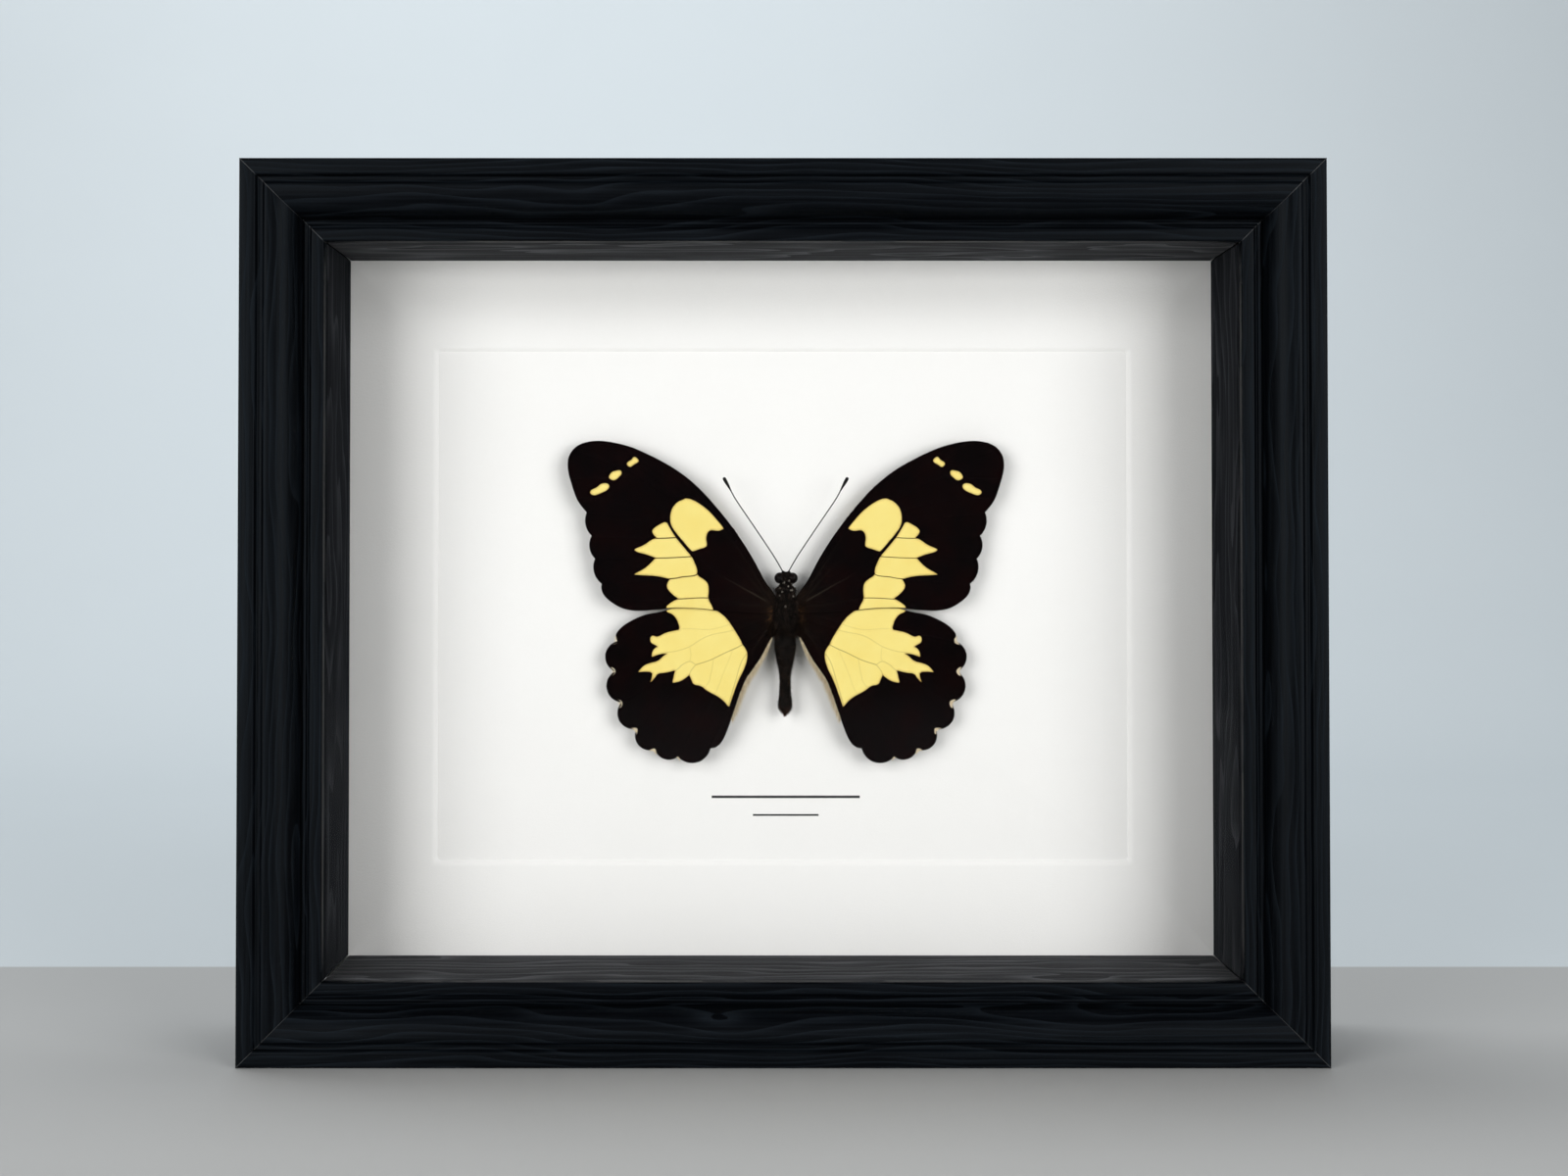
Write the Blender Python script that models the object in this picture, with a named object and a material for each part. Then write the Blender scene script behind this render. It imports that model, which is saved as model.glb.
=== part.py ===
"""A spread butterfly in a deep black box frame, in metres, +Z up, front towards -Y.

The frame stands on its bottom rail. From front to back lie the moulded lip, the glass, the four
spacers that hold the glass off the card, the card with its pressed panel, and the backing board
with the steel tabs that keep it in. The specimen is fixed to the card with a dab of glue.
"""

import math

import bmesh
import bpy
from mathutils import Vector

MM = 0.001
GAP = 0.3 * MM  # between pieces that touch

# Frame, outside
FRAME_WIDTH = 240 * MM
FRAME_HEIGHT = 200 * MM
FRAME_DEPTH = 44 * MM
RAIL_WIDTH = 17.5 * MM
REBATE_EDGE = 12 * MM  # from the outside of the rail to the wall of its rebate
REBATE_START = 8.2 * MM  # back of the lip, behind the front plane

# The moulding's section, in millimetres: inwards from the outside, then behind the front plane.
# A round has its centre and its radius.
OUTER_ROUND = ((0.6, 0.6), 0.6)
BAND_ROUND = ((3.1, 0.7), 0.7)
QUIRK = [(3.95, 1.35), (4.85, 1.4)]
COVE_ROUND = ((5.85, 1.3), 0.65)
COVE_START = (6.3, 0.75)
COVE_SIZE = (6.3, 6.1)
GROOVE = [(12.75, 6.95)]
BEAD_ROUND = ((13.45, 6.6), 0.5)
STEP_TO_LIP = [(14.2, 6.6), (14.6, 6.35), (14.75, 6.05), (15.2, 6.0)]
LIP_ROUND = ((RAIL_WIDTH / MM - 0.5, 6.5), 0.5)

# What lies in the rebate, as depths behind the front plane
GLASS_FRONT = REBATE_START + GAP
GLASS_THICKNESS = 2 * MM
GLASS_BEVEL = 0.2 * MM
CARD_FRONT = 36 * MM
CARD_THICKNESS = 1.5 * MM
BOARD_FRONT = CARD_FRONT + CARD_THICKNESS + GAP
BOARD_THICKNESS = 2.5 * MM
BOARD_BEVEL = 0.3 * MM
SPACER_FRONT = GLASS_FRONT + GLASS_THICKNESS + GAP
SPACER_BACK = CARD_FRONT - GAP
INSERT_WIDTH = FRAME_WIDTH - 2 * (REBATE_EDGE + GAP)
INSERT_HEIGHT = FRAME_HEIGHT - 2 * (REBATE_EDGE + GAP)

# The panel pressed into the card
PANEL_WIDTH = 167 * MM
PANEL_HEIGHT = 124 * MM
PANEL_DEPTH = 0.5 * MM
PANEL_BEVEL = 1.5 * MM
PANEL_X = 0.4 * MM  # right of the card's middle
PANEL_RISE = 0.4 * MM  # above it

# Steel tabs, two to a rail, and the hanger on the backing board
TAB_WIDTH = 9 * MM
TAB_THICKNESS = 0.5 * MM
TAB_IN_RAIL = 4.5 * MM
TAB_OVER_BOARD = 9 * MM
TAB_OFFSET = 0.27  # from the middle of the rail, as a share of its length
HANGER_LENGTH = 44 * MM
HANGER_HEIGHT = 8 * MM
HANGER_THICKNESS = 0.8 * MM
HANGER_RAISE = 1.0 * MM
HANGER_TEETH = 9
HANGER_FLAT_FROM = 0.34  # the plate touches the board past this share of its length from its middle
HANGER_RAISED_TO = 0.3  # and stands off it, with teeth, up to this share
HANGER_BELOW_TOP = 30 * MM
NAIL_OFFSET = 18.5 * MM
NAIL_HEAD_RADIUS = 1.9 * MM
NAIL_HEAD_THICKNESS = 0.5 * MM
NAIL_HEAD_ROUND = 0.25 * MM
NAIL_SHANK_RADIUS = 0.6 * MM
NAIL_LENGTH = 2.6 * MM
NAIL_POINT = 0.4 * MM
NAIL_HOLE_RADIUS = 1.0 * MM
NAIL_HOLE_IN_BOARD = 2.2 * MM
NAIL_HOLE_PAST_PLATE = 2 * MM
NAIL_SIDES = 24

# Specimen: its own drawing is in millimetres, outwards from the body's axis and up
SPECIMEN_X = 1.15 * MM
SPECIMEN_Z = FRAME_HEIGHT / 2 - 0.1 * MM
FOREWING_FRONT = 30.6 * MM
HINDWING_FRONT = 31.2 * MM
WING_THICKNESS = 0.25 * MM
WING_DROOP = 0.035  # the wings fall back towards the card by this share of the way out
WING_OFFSET = 0.4  # between the body's axis and where the wings' drawing starts
WING_ROOT = 3.3
WING_CURVE_STEPS = 3
WING_LOBE_STEPS = 5
BODY_SIDES = 20
ANTENNA_SIDES = 6

FOREWING_COSTA = [(WING_ROOT, 3.4), (4.8, 6.7), (7.0, 10.9), (9.8, 15.5), (13.7, 20.9), (19.8, 27.9),
                  (25.6, 32.6), (32.6, 36.4), (37.8, 38.4), (43.7, 39.4), (48.2, 38.6), (50.8, 36.0),
                  (51.1, 32.5), (49.9, 28.2), (46.6, 22.5)]
FOREWING_NOTCHES = [(46.6, 22.5), (45.4, 17.0), (44.6, 11.6), (43.0, 5.7)]
FOREWING_LOBE = 0.95
FOREWING_INNER = [(43.0, 5.7), (42.8, 3.6), (40.9, 1.5), (38.1, -0.1), (34.6, -0.65), (27.9, -0.1),
                  (22.0, 0.0), (16.3, -0.5), (WING_ROOT, -1.1)]

HINDWING_COSTA = [(WING_ROOT, 0.4), (12.0, 2.6), (21.0, 2.2), (27.9, -0.5), (32.6, -1.6),
                  (37.2, -3.6), (39.4, -5.6), (39.4, -7.9)]
HINDWING_NOTCHES = [(39.4, -7.9), (40.0, -15.0), (38.4, -22.3), (34.8, -28.5), (30.5, -33.3),
                    (25.1, -35.0), (17.4, -33.0)]
HINDWING_LOBES = [2.5, 2.7, 2.6, 2.2, 1.5, 2.4]
HINDWING_INNER = [(17.4, -33.0), (15.3, -32.1), (14.0, -30.2), (12.4, -26.0), (10.9, -21.4),
                  (8.8, -16.7), (6.3, -13.0), (4.4, -9.8), (WING_ROOT, -7.9)]

# Body stations: height, half width, half depth and depth of the middle behind the front plane
HEAD_X = 0.0
HEAD = [(8.35, 0.4, 0.4, 31.0), (8.2, 1.0, 0.9, 31.0), (7.6, 1.5, 1.4, 31.1), (6.7, 1.6, 1.6, 31.2),
        (5.9, 1.4, 1.5, 31.3), (5.5, 1.0, 1.1, 31.3), (5.35, 0.4, 0.4, 31.3)]
EYE_RADII = (1.25, 1.35, 1.5)
EYE_OFFSET = 1.5
EYE_CENTRE = (7.0, 31.0)
EYE_STEPS = 10
THORAX_X = -0.1
THORAX = [(5.0, 0.9, 0.9, 31.4), (4.8, 1.9, 1.6, 31.4), (4.2, 2.5, 2.1, 31.4), (3.4, 2.3, 2.2, 31.4),
          (2.4, 2.8, 2.6, 31.5), (0.5, 3.2, 2.9, 31.5), (-1.8, 3.25, 2.9, 31.5), (-4.0, 3.1, 2.7, 31.6),
          (-5.4, 2.7, 2.4, 31.8), (-6.0, 2.1, 1.9, 32.0), (-6.2, 1.0, 1.0, 32.0)]
ABDOMEN_X = -0.2
ABDOMEN = [(-6.5, 1.4, 1.3, 32.2), (-6.9, 2.3, 2.0, 32.2), (-8.6, 2.5, 2.2, 32.3), (-10.4, 2.35, 2.1, 32.4),
           (-12.0, 2.05, 1.9, 32.5), (-14.0, 1.55, 1.6, 32.7), (-15.6, 1.3, 1.4, 32.8),
           (-17.6, 1.2, 1.3, 32.9), (-19.6, 1.3, 1.3, 33.0), (-21.2, 1.45, 1.4, 33.0),
           (-22.5, 1.62, 1.5, 33.0), (-23.5, 1.45, 1.4, 33.0), (-24.4, 0.9, 0.9, 33.0),
           (-25.0, 0.4, 0.45, 33.0), (-25.6, 0.1, 0.12, 33.0)]
GLUE_DAB = [(1.4, 1.1, 0.3, 35.2), (0.9, 1.9, 0.45, 35.2), (-0.4, 2.3, 0.5, 35.2),
            (-1.7, 1.9, 0.45, 35.2), (-2.2, 1.1, 0.3, 35.2)]

# Antenna: a gentle curve from the head to the club
ANTENNA_X = -0.1
ANTENNA_ROUTE = [(0.65, 8.75), (3.7, 13.6), (7.6, 19.4), (11.6, 25.3), (13.2, 28.0), (14.7, 30.6)]
ANTENNA_DEPTH = (30.4, 29.6)
ANTENNA_STEPS = 4
SHAFT_RADIUS = 0.17
CLUB_RADIUS = 0.38
CLUB_SHARE = 0.14  # of the antenna's length

# Simple colours: linear red, green, blue
BLACK_PAINT = (0.012, 0.014, 0.015)
SPACER_BLACK = (0.02, 0.02, 0.022)
CARD_WHITE = (0.86, 0.86, 0.84)
BOARD_BROWN = (0.22, 0.13, 0.07)
STEEL = (0.5, 0.5, 0.5)
WING_BROWN = (0.022, 0.015, 0.013)
BODY_BROWN = (0.03, 0.02, 0.014)


def clear_scene():
    for old in list(bpy.data.objects):
        bpy.data.objects.remove(old, do_unlink=True)


def make_material(name, colour, roughness, metallic=0.0, transmission=0.0):
    material = bpy.data.materials.new(name)
    material.use_nodes = True
    shader = material.node_tree.nodes["Principled BSDF"]
    shader.inputs["Base Color"].default_value = (*colour, 1.0)
    shader.inputs["Roughness"].default_value = roughness
    shader.inputs["Metallic"].default_value = metallic
    shader.inputs["Transmission Weight"].default_value = transmission
    return material


def world_y(depth):
    """World Y of a depth behind the front plane."""
    return depth - FRAME_DEPTH / 2


def finish_object(name, mesh_data, material, smooth_angle=35):
    """Turns a bmesh into a named object with outward faces."""
    bmesh.ops.recalc_face_normals(mesh_data, faces=mesh_data.faces)
    mesh = bpy.data.meshes.new(name)
    mesh_data.to_mesh(mesh)
    mesh_data.free()
    mesh.shade_smooth()
    mesh.set_sharp_from_angle(angle=math.radians(smooth_angle))
    mesh.materials.append(material)
    built = bpy.data.objects.new(name, mesh)
    bpy.context.scene.collection.objects.link(built)
    return built


def loft(name, rings, material):
    """A closed solid through rings that all have the same number of points."""
    mesh_data = bmesh.new()
    loops = [[mesh_data.verts.new(point) for point in ring] for ring in rings]
    count = len(loops[0])
    for near, far in zip(loops, loops[1:]):
        for i in range(count):
            j = (i + 1) % count
            mesh_data.faces.new((near[i], near[j], far[j], far[i]))
    mesh_data.faces.new(loops[0])
    mesh_data.faces.new(list(reversed(loops[-1])))
    return finish_object(name, mesh_data, material)


def box(name, low, high, material, bevel=0.0):
    """A box between two corners, with its edges taken off by a Bevel modifier."""
    corners = [(low[0], low[2]), (high[0], low[2]), (high[0], high[2]), (low[0], high[2])]
    rings = [[(x, y, z) for x, z in corners] for y in (low[1], high[1])]
    built = loft(name, rings, material)
    if bevel:
        modifier = built.modifiers.new("edges", "BEVEL")
        modifier.width = bevel
        modifier.segments = 1
    return built


def cut(target, cutter):
    """Takes the cutter's shape out of the target, and keeps the cutter as a hidden helper."""
    cutter.hide_render = True
    cutter.display_type = "WIRE"
    modifier = target.modifiers.new(f"cut_{cutter.name}", "BOOLEAN")
    modifier.operation = "DIFFERENCE"
    modifier.solver = "EXACT"
    modifier.object = cutter


def arc(centre, radius, start_deg, end_deg, steps):
    """Points of an arc, with 0 degrees along the first axis and 90 along the second."""
    points = []
    for i in range(steps + 1):
        angle = math.radians(start_deg + (end_deg - start_deg) * i / steps)
        points.append((centre[0] + radius * math.cos(angle), centre[1] + radius * math.sin(angle)))
    return points


def smooth(points, steps):
    """A Catmull-Rom curve through the points, open at both ends."""
    padded = [points[0], *points, points[-1]]
    curve = []
    for a, b, c, d in zip(padded, padded[1:], padded[2:], padded[3:]):
        for i in range(steps):
            t = i / steps
            curve.append(tuple(
                0.5 * (2 * q + (r - p) * t + (2 * p - 5 * q + 4 * r - s) * t * t
                       + (3 * q - p - 3 * r + s) * t ** 3)
                for p, q, r, s in zip(a, b, c, d)))
    curve.append(tuple(points[-1]))
    return curve


def lobe(start, end, bulge, steps):
    """A circular arc from start to end that stands out by bulge, on the left of the way there."""
    start, end = Vector(start), Vector(end)
    chord = end - start
    half = chord.length / 2
    out = Vector((-chord.y, chord.x)).normalized()
    radius = (half * half + bulge * bulge) / (2 * bulge)
    centre = (start + end) / 2 - out * (radius - bulge)
    sweep = 2 * math.asin(min(1.0, half / radius))
    if bulge > half:
        sweep = 2 * math.pi - sweep
    points = []
    for i in range(steps):
        angle = sweep * (0.5 - i / steps)
        along = chord.normalized() * -math.sin(angle)
        points.append(tuple(centre + (out * math.cos(angle) + along) * radius))
    return points


# ---------------------------------------------------------------- frame rails


def rail_profile():
    """The moulding's section as (inwards from the outside, behind the front plane), in millimetres."""
    cove = []
    for degrees in range(0, 91, 10):
        angle = math.radians(degrees)
        cove.append((COVE_START[0] + COVE_SIZE[0] * math.sin(angle),
                     COVE_START[1] + COVE_SIZE[1] * (1 - math.cos(angle))))
    section = [(0, FRAME_DEPTH / MM)]
    section += arc(*OUTER_ROUND, 180, 270, 3)
    section += arc(*BAND_ROUND, 270, 360, 4)
    section += QUIRK
    section += arc(*COVE_ROUND, 190, 250, 2)
    section += cove
    section += GROOVE
    section += arc(*BEAD_ROUND, 200, 340, 4)
    section += STEP_TO_LIP
    section += arc(*LIP_ROUND, 270, 360, 3)
    section += [(RAIL_WIDTH / MM, REBATE_START / MM)]
    section += [(REBATE_EDGE / MM, REBATE_START / MM), (REBATE_EDGE / MM, FRAME_DEPTH / MM)]
    return [(w * MM, d * MM) for w, d in section]


def side_point(side, along, inset, depth):
    """A point on one side of the frame: along runs from -1 to 1 between the side's mitred ends."""
    back_off = GAP / math.sqrt(2)
    reach_x = (FRAME_WIDTH / 2 - inset - (back_off if side in ("top", "bottom") else 0))
    reach_z = (FRAME_HEIGHT / 2 - inset - (back_off if side in ("left", "right") else 0))
    x, z = {
        "top": (along * reach_x, reach_z),
        "bottom": (along * reach_x, -reach_z),
        "left": (-reach_x, along * reach_z),
        "right": (reach_x, along * reach_z),
    }[side]
    return x, world_y(depth), FRAME_HEIGHT / 2 + z


def mitred_side(name, side, section, material):
    """One side of a frame, its section carried between two mitred ends."""
    rings = [[side_point(side, along, w, d) for w, d in section] for along in (-1, 1)]
    return loft(name, rings, material)


def tab_box(name, side, along, half_width, inset, depth, material):
    """A box across one side at a tab's place: inset and depth are (from, to) pairs."""
    corners = []
    for w in inset:
        x, _, z = side_point(side, 0, w, 0)
        for step in (-half_width, half_width):
            if side in ("top", "bottom"):
                corners.append((along * FRAME_WIDTH + step, z))
            else:
                corners.append((x, along * FRAME_HEIGHT + FRAME_HEIGHT / 2 + step))
    low = (min(c[0] for c in corners), world_y(depth[0]), min(c[1] for c in corners))
    high = (max(c[0] for c in corners), world_y(depth[1]), max(c[1] for c in corners))
    return box(name, low, high, material)


def build_frame(paint, spacer_paint, steel):
    section = rail_profile()
    spacer_section = [(w, d) for w, d in (
        (REBATE_EDGE + GAP, SPACER_FRONT), (RAIL_WIDTH, SPACER_FRONT),
        (RAIL_WIDTH, SPACER_BACK), (REBATE_EDGE + GAP, SPACER_BACK))]
    tab_front = BOARD_FRONT + BOARD_THICKNESS + GAP
    tab_count = 0
    for side in ("top", "bottom", "left", "right"):
        rail = mitred_side(f"frame_rail_{side}", side, section, paint)
        mitred_side(f"spacer_{side}", side, spacer_section, spacer_paint)
        for along in (-TAB_OFFSET, TAB_OFFSET):
            tab_count += 1
            cut(rail, tab_box(f"tab_slot_{tab_count}", side, along, TAB_WIDTH / 2 + GAP,
                              (REBATE_EDGE - TAB_IN_RAIL - GAP, REBATE_EDGE + 2 * GAP),
                              (tab_front - GAP, tab_front + TAB_THICKNESS + GAP), steel))
            tab_box(f"backing_tab_{tab_count}", side, along, TAB_WIDTH / 2,
                    (REBATE_EDGE - TAB_IN_RAIL, REBATE_EDGE + TAB_OVER_BOARD),
                    (tab_front, tab_front + TAB_THICKNESS), steel)


# ---------------------------------------------------------------- glass, card and back


def insert_box(name, front, thickness, material, bevel):
    """A flat sheet that fills the rebate."""
    low = (-INSERT_WIDTH / 2, world_y(front), (FRAME_HEIGHT - INSERT_HEIGHT) / 2)
    high = (INSERT_WIDTH / 2, world_y(front + thickness), (FRAME_HEIGHT + INSERT_HEIGHT) / 2)
    return box(name, low, high, material, bevel)


def build_card(material):
    """The card, with the panel's bevelled recess in its front."""
    rings = []
    for width, height, depth, right, rise in (
            (INSERT_WIDTH, INSERT_HEIGHT, CARD_FRONT + CARD_THICKNESS, 0, 0),
            (INSERT_WIDTH, INSERT_HEIGHT, CARD_FRONT, 0, 0),
            (PANEL_WIDTH, PANEL_HEIGHT, CARD_FRONT, PANEL_X, PANEL_RISE),
            (PANEL_WIDTH - 2 * PANEL_BEVEL, PANEL_HEIGHT - 2 * PANEL_BEVEL, CARD_FRONT + PANEL_DEPTH,
             PANEL_X, PANEL_RISE)):
        rings.append([(right + sx * width / 2, world_y(depth), FRAME_HEIGHT / 2 + rise + sz * height / 2)
                      for sx, sz in ((-1, -1), (1, -1), (1, 1), (-1, 1))])
    loft("mount_card", rings, material)


def nail_ring(x, y, z, radius):
    """A circle round the Y axis of a nail."""
    last = 360 - 360 / NAIL_SIDES
    return [(px, y, pz) for px, pz in arc((x, z), radius, 0, last, NAIL_SIDES - 1)]


def turned_nail(name, x, z, head_back, material):
    """A round nail along Y, its head behind the plate and its shank in the board."""
    profile = [(NAIL_SHANK_RADIUS * 0.3, NAIL_LENGTH), (NAIL_SHANK_RADIUS, NAIL_LENGTH - NAIL_POINT),
               (NAIL_SHANK_RADIUS, NAIL_HEAD_THICKNESS), (NAIL_HEAD_RADIUS, NAIL_HEAD_THICKNESS),
               (NAIL_HEAD_RADIUS, NAIL_HEAD_ROUND), (NAIL_HEAD_RADIUS * 0.7, 0.0)]
    loft(name, [nail_ring(x, head_back - deep, z, radius) for radius, deep in profile], material)


def build_back(board_material, steel):
    board = insert_box("backing_board", BOARD_FRONT, BOARD_THICKNESS, board_material, BOARD_BEVEL)
    board_back = world_y(BOARD_FRONT + BOARD_THICKNESS)
    hanger_z = FRAME_HEIGHT - HANGER_BELOW_TOP
    plate_front = board_back + GAP

    flat_from, raised_from = HANGER_LENGTH * HANGER_FLAT_FROM, HANGER_LENGTH * HANGER_RAISED_TO
    tooth = 2 * raised_from / HANGER_TEETH
    stations = [(-HANGER_LENGTH / 2, 0, 0), (-flat_from, 0, 0)]
    for i in range(HANGER_TEETH):
        stations.append((-raised_from + i * tooth, 0, 1))
        stations.append((-raised_from + (i + 0.5) * tooth, tooth / 2, 1))
    stations += [(raised_from, 0, 1), (flat_from, 0, 0), (HANGER_LENGTH / 2, 0, 0)]
    rings = []
    for x, bite, raised in stations:
        front = plate_front + raised * HANGER_RAISE
        low, high = hanger_z - HANGER_HEIGHT / 2 + bite, hanger_z + HANGER_HEIGHT / 2
        rings.append([(x, front, low), (x, front + HANGER_THICKNESS, low),
                      (x, front + HANGER_THICKNESS, high), (x, front, high)])
    hanger = loft("hanger_plate", rings, steel)

    for label, x in (("left", -NAIL_OFFSET), ("right", NAIL_OFFSET)):
        hole_span = (board_back - NAIL_HOLE_IN_BOARD, plate_front + NAIL_HOLE_PAST_PLATE)
        hole = loft(f"nail_hole_{label}", [nail_ring(x, y, hanger_z, NAIL_HOLE_RADIUS) for y in hole_span], steel)
        cut(hanger, hole)
        cut(board, hole)
        head_back = plate_front + HANGER_THICKNESS + GAP + NAIL_HEAD_THICKNESS
        turned_nail(f"hanger_nail_{label}", x, hanger_z, head_back, steel)


# ---------------------------------------------------------------- specimen


def specimen_point(side, outward, up, depth):
    """A point of the specimen's drawing, in millimetres, as world metres."""
    return SPECIMEN_X + side * outward * MM, world_y(depth * MM), SPECIMEN_Z + up * MM


def wing_outline(costa, notches, bulges, inner):
    points = smooth(costa, WING_CURVE_STEPS)[:-1]
    for start, end, bulge in zip(notches, notches[1:], bulges):
        points += lobe(start, end, bulge, WING_LOBE_STEPS)
    points += smooth(inner, WING_CURVE_STEPS)
    return points


def build_wing(name, side, outline, front, material):
    rings = [[specimen_point(side, s + WING_OFFSET, v, depth / MM + WING_DROOP * s) for s, v in outline]
             for depth in (front, front + WING_THICKNESS)]
    loft(name, rings, material)


def body_rings(stations, centre_x):
    rings = []
    for up, half_width, half_depth, depth in stations:
        rings.append([specimen_point(1, centre_x + half_width * math.cos(a), up, depth + half_depth * math.sin(a))
                      for a in (2 * math.pi * i / BODY_SIDES for i in range(BODY_SIDES))])
    return rings


def build_head(material):
    head = loft("head", body_rings(HEAD, HEAD_X), material)
    for label, side in (("left", -1), ("right", 1)):
        stations = []
        for i in range(1, EYE_STEPS):
            angle = math.pi * i / EYE_STEPS
            stations.append((EYE_CENTRE[0] + EYE_RADII[1] * math.cos(angle), EYE_RADII[0] * math.sin(angle),
                             EYE_RADII[2] * math.sin(angle), EYE_CENTRE[1]))
        eye = loft(f"eye_{label}", body_rings(stations, HEAD_X + side * EYE_OFFSET), material)
        eye.hide_render = True
        eye.display_type = "WIRE"
        modifier = head.modifiers.new(f"join_eye_{label}", "BOOLEAN")
        modifier.operation = "UNION"
        modifier.solver = "EXACT"
        modifier.object = eye


def build_antenna(name, side, material):
    """A slender tube in the wings' plane that swells into a club."""
    route = smooth(ANTENNA_ROUTE, ANTENNA_STEPS)
    rings = []
    for i, (outward, up) in enumerate(route):
        share = i / (len(route) - 1)
        before, after = route[max(i - 1, 0)], route[min(i + 1, len(route) - 1)]
        along = Vector((after[0] - before[0], after[1] - before[1])).normalized()
        club = max(0.0, 1 - abs(share - (1 - CLUB_SHARE / 2)) / CLUB_SHARE)
        radius = SHAFT_RADIUS + (CLUB_RADIUS - SHAFT_RADIUS) * math.sin(club * math.pi / 2)
        depth = ANTENNA_DEPTH[0] + (ANTENNA_DEPTH[1] - ANTENNA_DEPTH[0]) * share
        rings.append([specimen_point(side, ANTENNA_X * side + outward - along.y * radius * math.cos(a),
                                     up + along.x * radius * math.cos(a), depth + radius * math.sin(a))
                      for a in (2 * math.pi * k / ANTENNA_SIDES for k in range(ANTENNA_SIDES))])
    loft(name, rings, material)


def build_specimen(wing, body, glue):
    forewing = wing_outline(FOREWING_COSTA, FOREWING_NOTCHES, [FOREWING_LOBE] * 3, FOREWING_INNER)
    hindwing = wing_outline(HINDWING_COSTA, HINDWING_NOTCHES, HINDWING_LOBES, HINDWING_INNER)
    for label, side in (("left", -1), ("right", 1)):
        build_wing(f"forewing_{label}", side, forewing, FOREWING_FRONT, wing)
        build_wing(f"hindwing_{label}", side, hindwing, HINDWING_FRONT, wing)
        build_antenna(f"antenna_{label}", side, body)
    build_head(body)
    loft("thorax", body_rings(THORAX, THORAX_X), body)
    loft("abdomen", body_rings(ABDOMEN, ABDOMEN_X), body)
    loft("glue_dab", body_rings(GLUE_DAB, 0.0), glue)


clear_scene()
black_paint = make_material("black_paint", BLACK_PAINT, 0.5)
spacer_paint = make_material("spacer_paint", SPACER_BLACK, 0.6)
white_card = make_material("white_card", CARD_WHITE, 0.9)
hardboard = make_material("hardboard", BOARD_BROWN, 0.7)
zinc_steel = make_material("zinc_steel", STEEL, 0.35, metallic=1.0)
clear_glass = make_material("clear_glass", (1.0, 1.0, 1.0), 0.02, transmission=1.0)
wing_scales = make_material("wing_scales", WING_BROWN, 0.8)
body_hair = make_material("body_hair", BODY_BROWN, 0.8)
clear_glue = make_material("clear_glue", (0.7, 0.65, 0.5), 0.3)

build_frame(black_paint, spacer_paint, zinc_steel)
insert_box("glass_pane", GLASS_FRONT, GLASS_THICKNESS, clear_glass, GLASS_BEVEL)
build_card(white_card)
build_back(hardboard, zinc_steel)
build_specimen(wing_scales, body_hair, clear_glue)
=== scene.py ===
"""The looks of the framed butterfly: every surface of the frame, and the specimen in full detail."""

import math

import bmesh
import bpy
import numpy as np
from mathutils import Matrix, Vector, noise
from mathutils.geometry import delaunay_2d_cdt


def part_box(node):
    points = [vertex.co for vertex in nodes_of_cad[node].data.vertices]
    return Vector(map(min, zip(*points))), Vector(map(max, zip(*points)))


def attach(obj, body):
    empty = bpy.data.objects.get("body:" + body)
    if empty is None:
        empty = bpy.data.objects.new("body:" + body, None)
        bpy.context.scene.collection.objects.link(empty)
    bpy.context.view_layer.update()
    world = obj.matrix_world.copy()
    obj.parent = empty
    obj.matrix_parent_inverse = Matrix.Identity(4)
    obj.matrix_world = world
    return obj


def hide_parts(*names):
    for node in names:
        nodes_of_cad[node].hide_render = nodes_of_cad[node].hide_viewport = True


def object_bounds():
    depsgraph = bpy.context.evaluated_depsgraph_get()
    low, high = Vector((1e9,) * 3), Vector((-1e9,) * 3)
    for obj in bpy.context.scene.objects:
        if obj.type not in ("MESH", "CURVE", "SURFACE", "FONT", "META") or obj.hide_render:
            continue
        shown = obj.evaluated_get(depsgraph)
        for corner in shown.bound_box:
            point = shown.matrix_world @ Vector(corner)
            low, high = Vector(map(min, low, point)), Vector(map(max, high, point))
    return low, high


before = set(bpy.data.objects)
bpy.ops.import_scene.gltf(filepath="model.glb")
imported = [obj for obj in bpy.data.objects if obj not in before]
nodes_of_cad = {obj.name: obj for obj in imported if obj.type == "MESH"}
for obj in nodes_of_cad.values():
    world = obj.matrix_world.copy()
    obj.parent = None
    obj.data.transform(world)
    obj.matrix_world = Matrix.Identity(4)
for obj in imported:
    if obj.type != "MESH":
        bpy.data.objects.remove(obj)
cad_low, cad_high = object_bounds()

MM = 0.001

# ---------------------------------------------------------------- sizes, from the frame

FRAME_WIDTH = cad_high.x - cad_low.x
FRAME_HEIGHT = cad_high.z - cad_low.z
FRONT_Y, BACK_Y = cad_low.y, cad_high.y
FRAME_DEPTH = BACK_Y - FRONT_Y
MIDDLE_Z = (cad_low.z + cad_high.z) / 2
rail_low, rail_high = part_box("frame_rail_top")
RAIL_WIDTH = rail_high.z - rail_low.z
card_low, card_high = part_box("mount_card")
CARD_Y = card_low.y
WING_DROOP = 0.035  # the wings fall back towards the card by this share of the way out
WING_ROOT = 3.3  # how far out the CAD wings start, in millimetres
wing_low, wing_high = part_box("forewing_left")
SPECIMEN_X = (wing_low.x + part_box("forewing_right")[1].x) / 2
FOREWING_TOP = 39.4  # millimetres above the specimen's own origin
SPECIMEN_Z = wing_high.z - FOREWING_TOP * MM
FOREWING_LIFT = (CARD_Y - wing_low.y) / MM + WING_ROOT * WING_DROOP
HINDWING_LIFT = (CARD_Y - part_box("hindwing_left")[0].y) / MM + WING_ROOT * WING_DROOP

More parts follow.
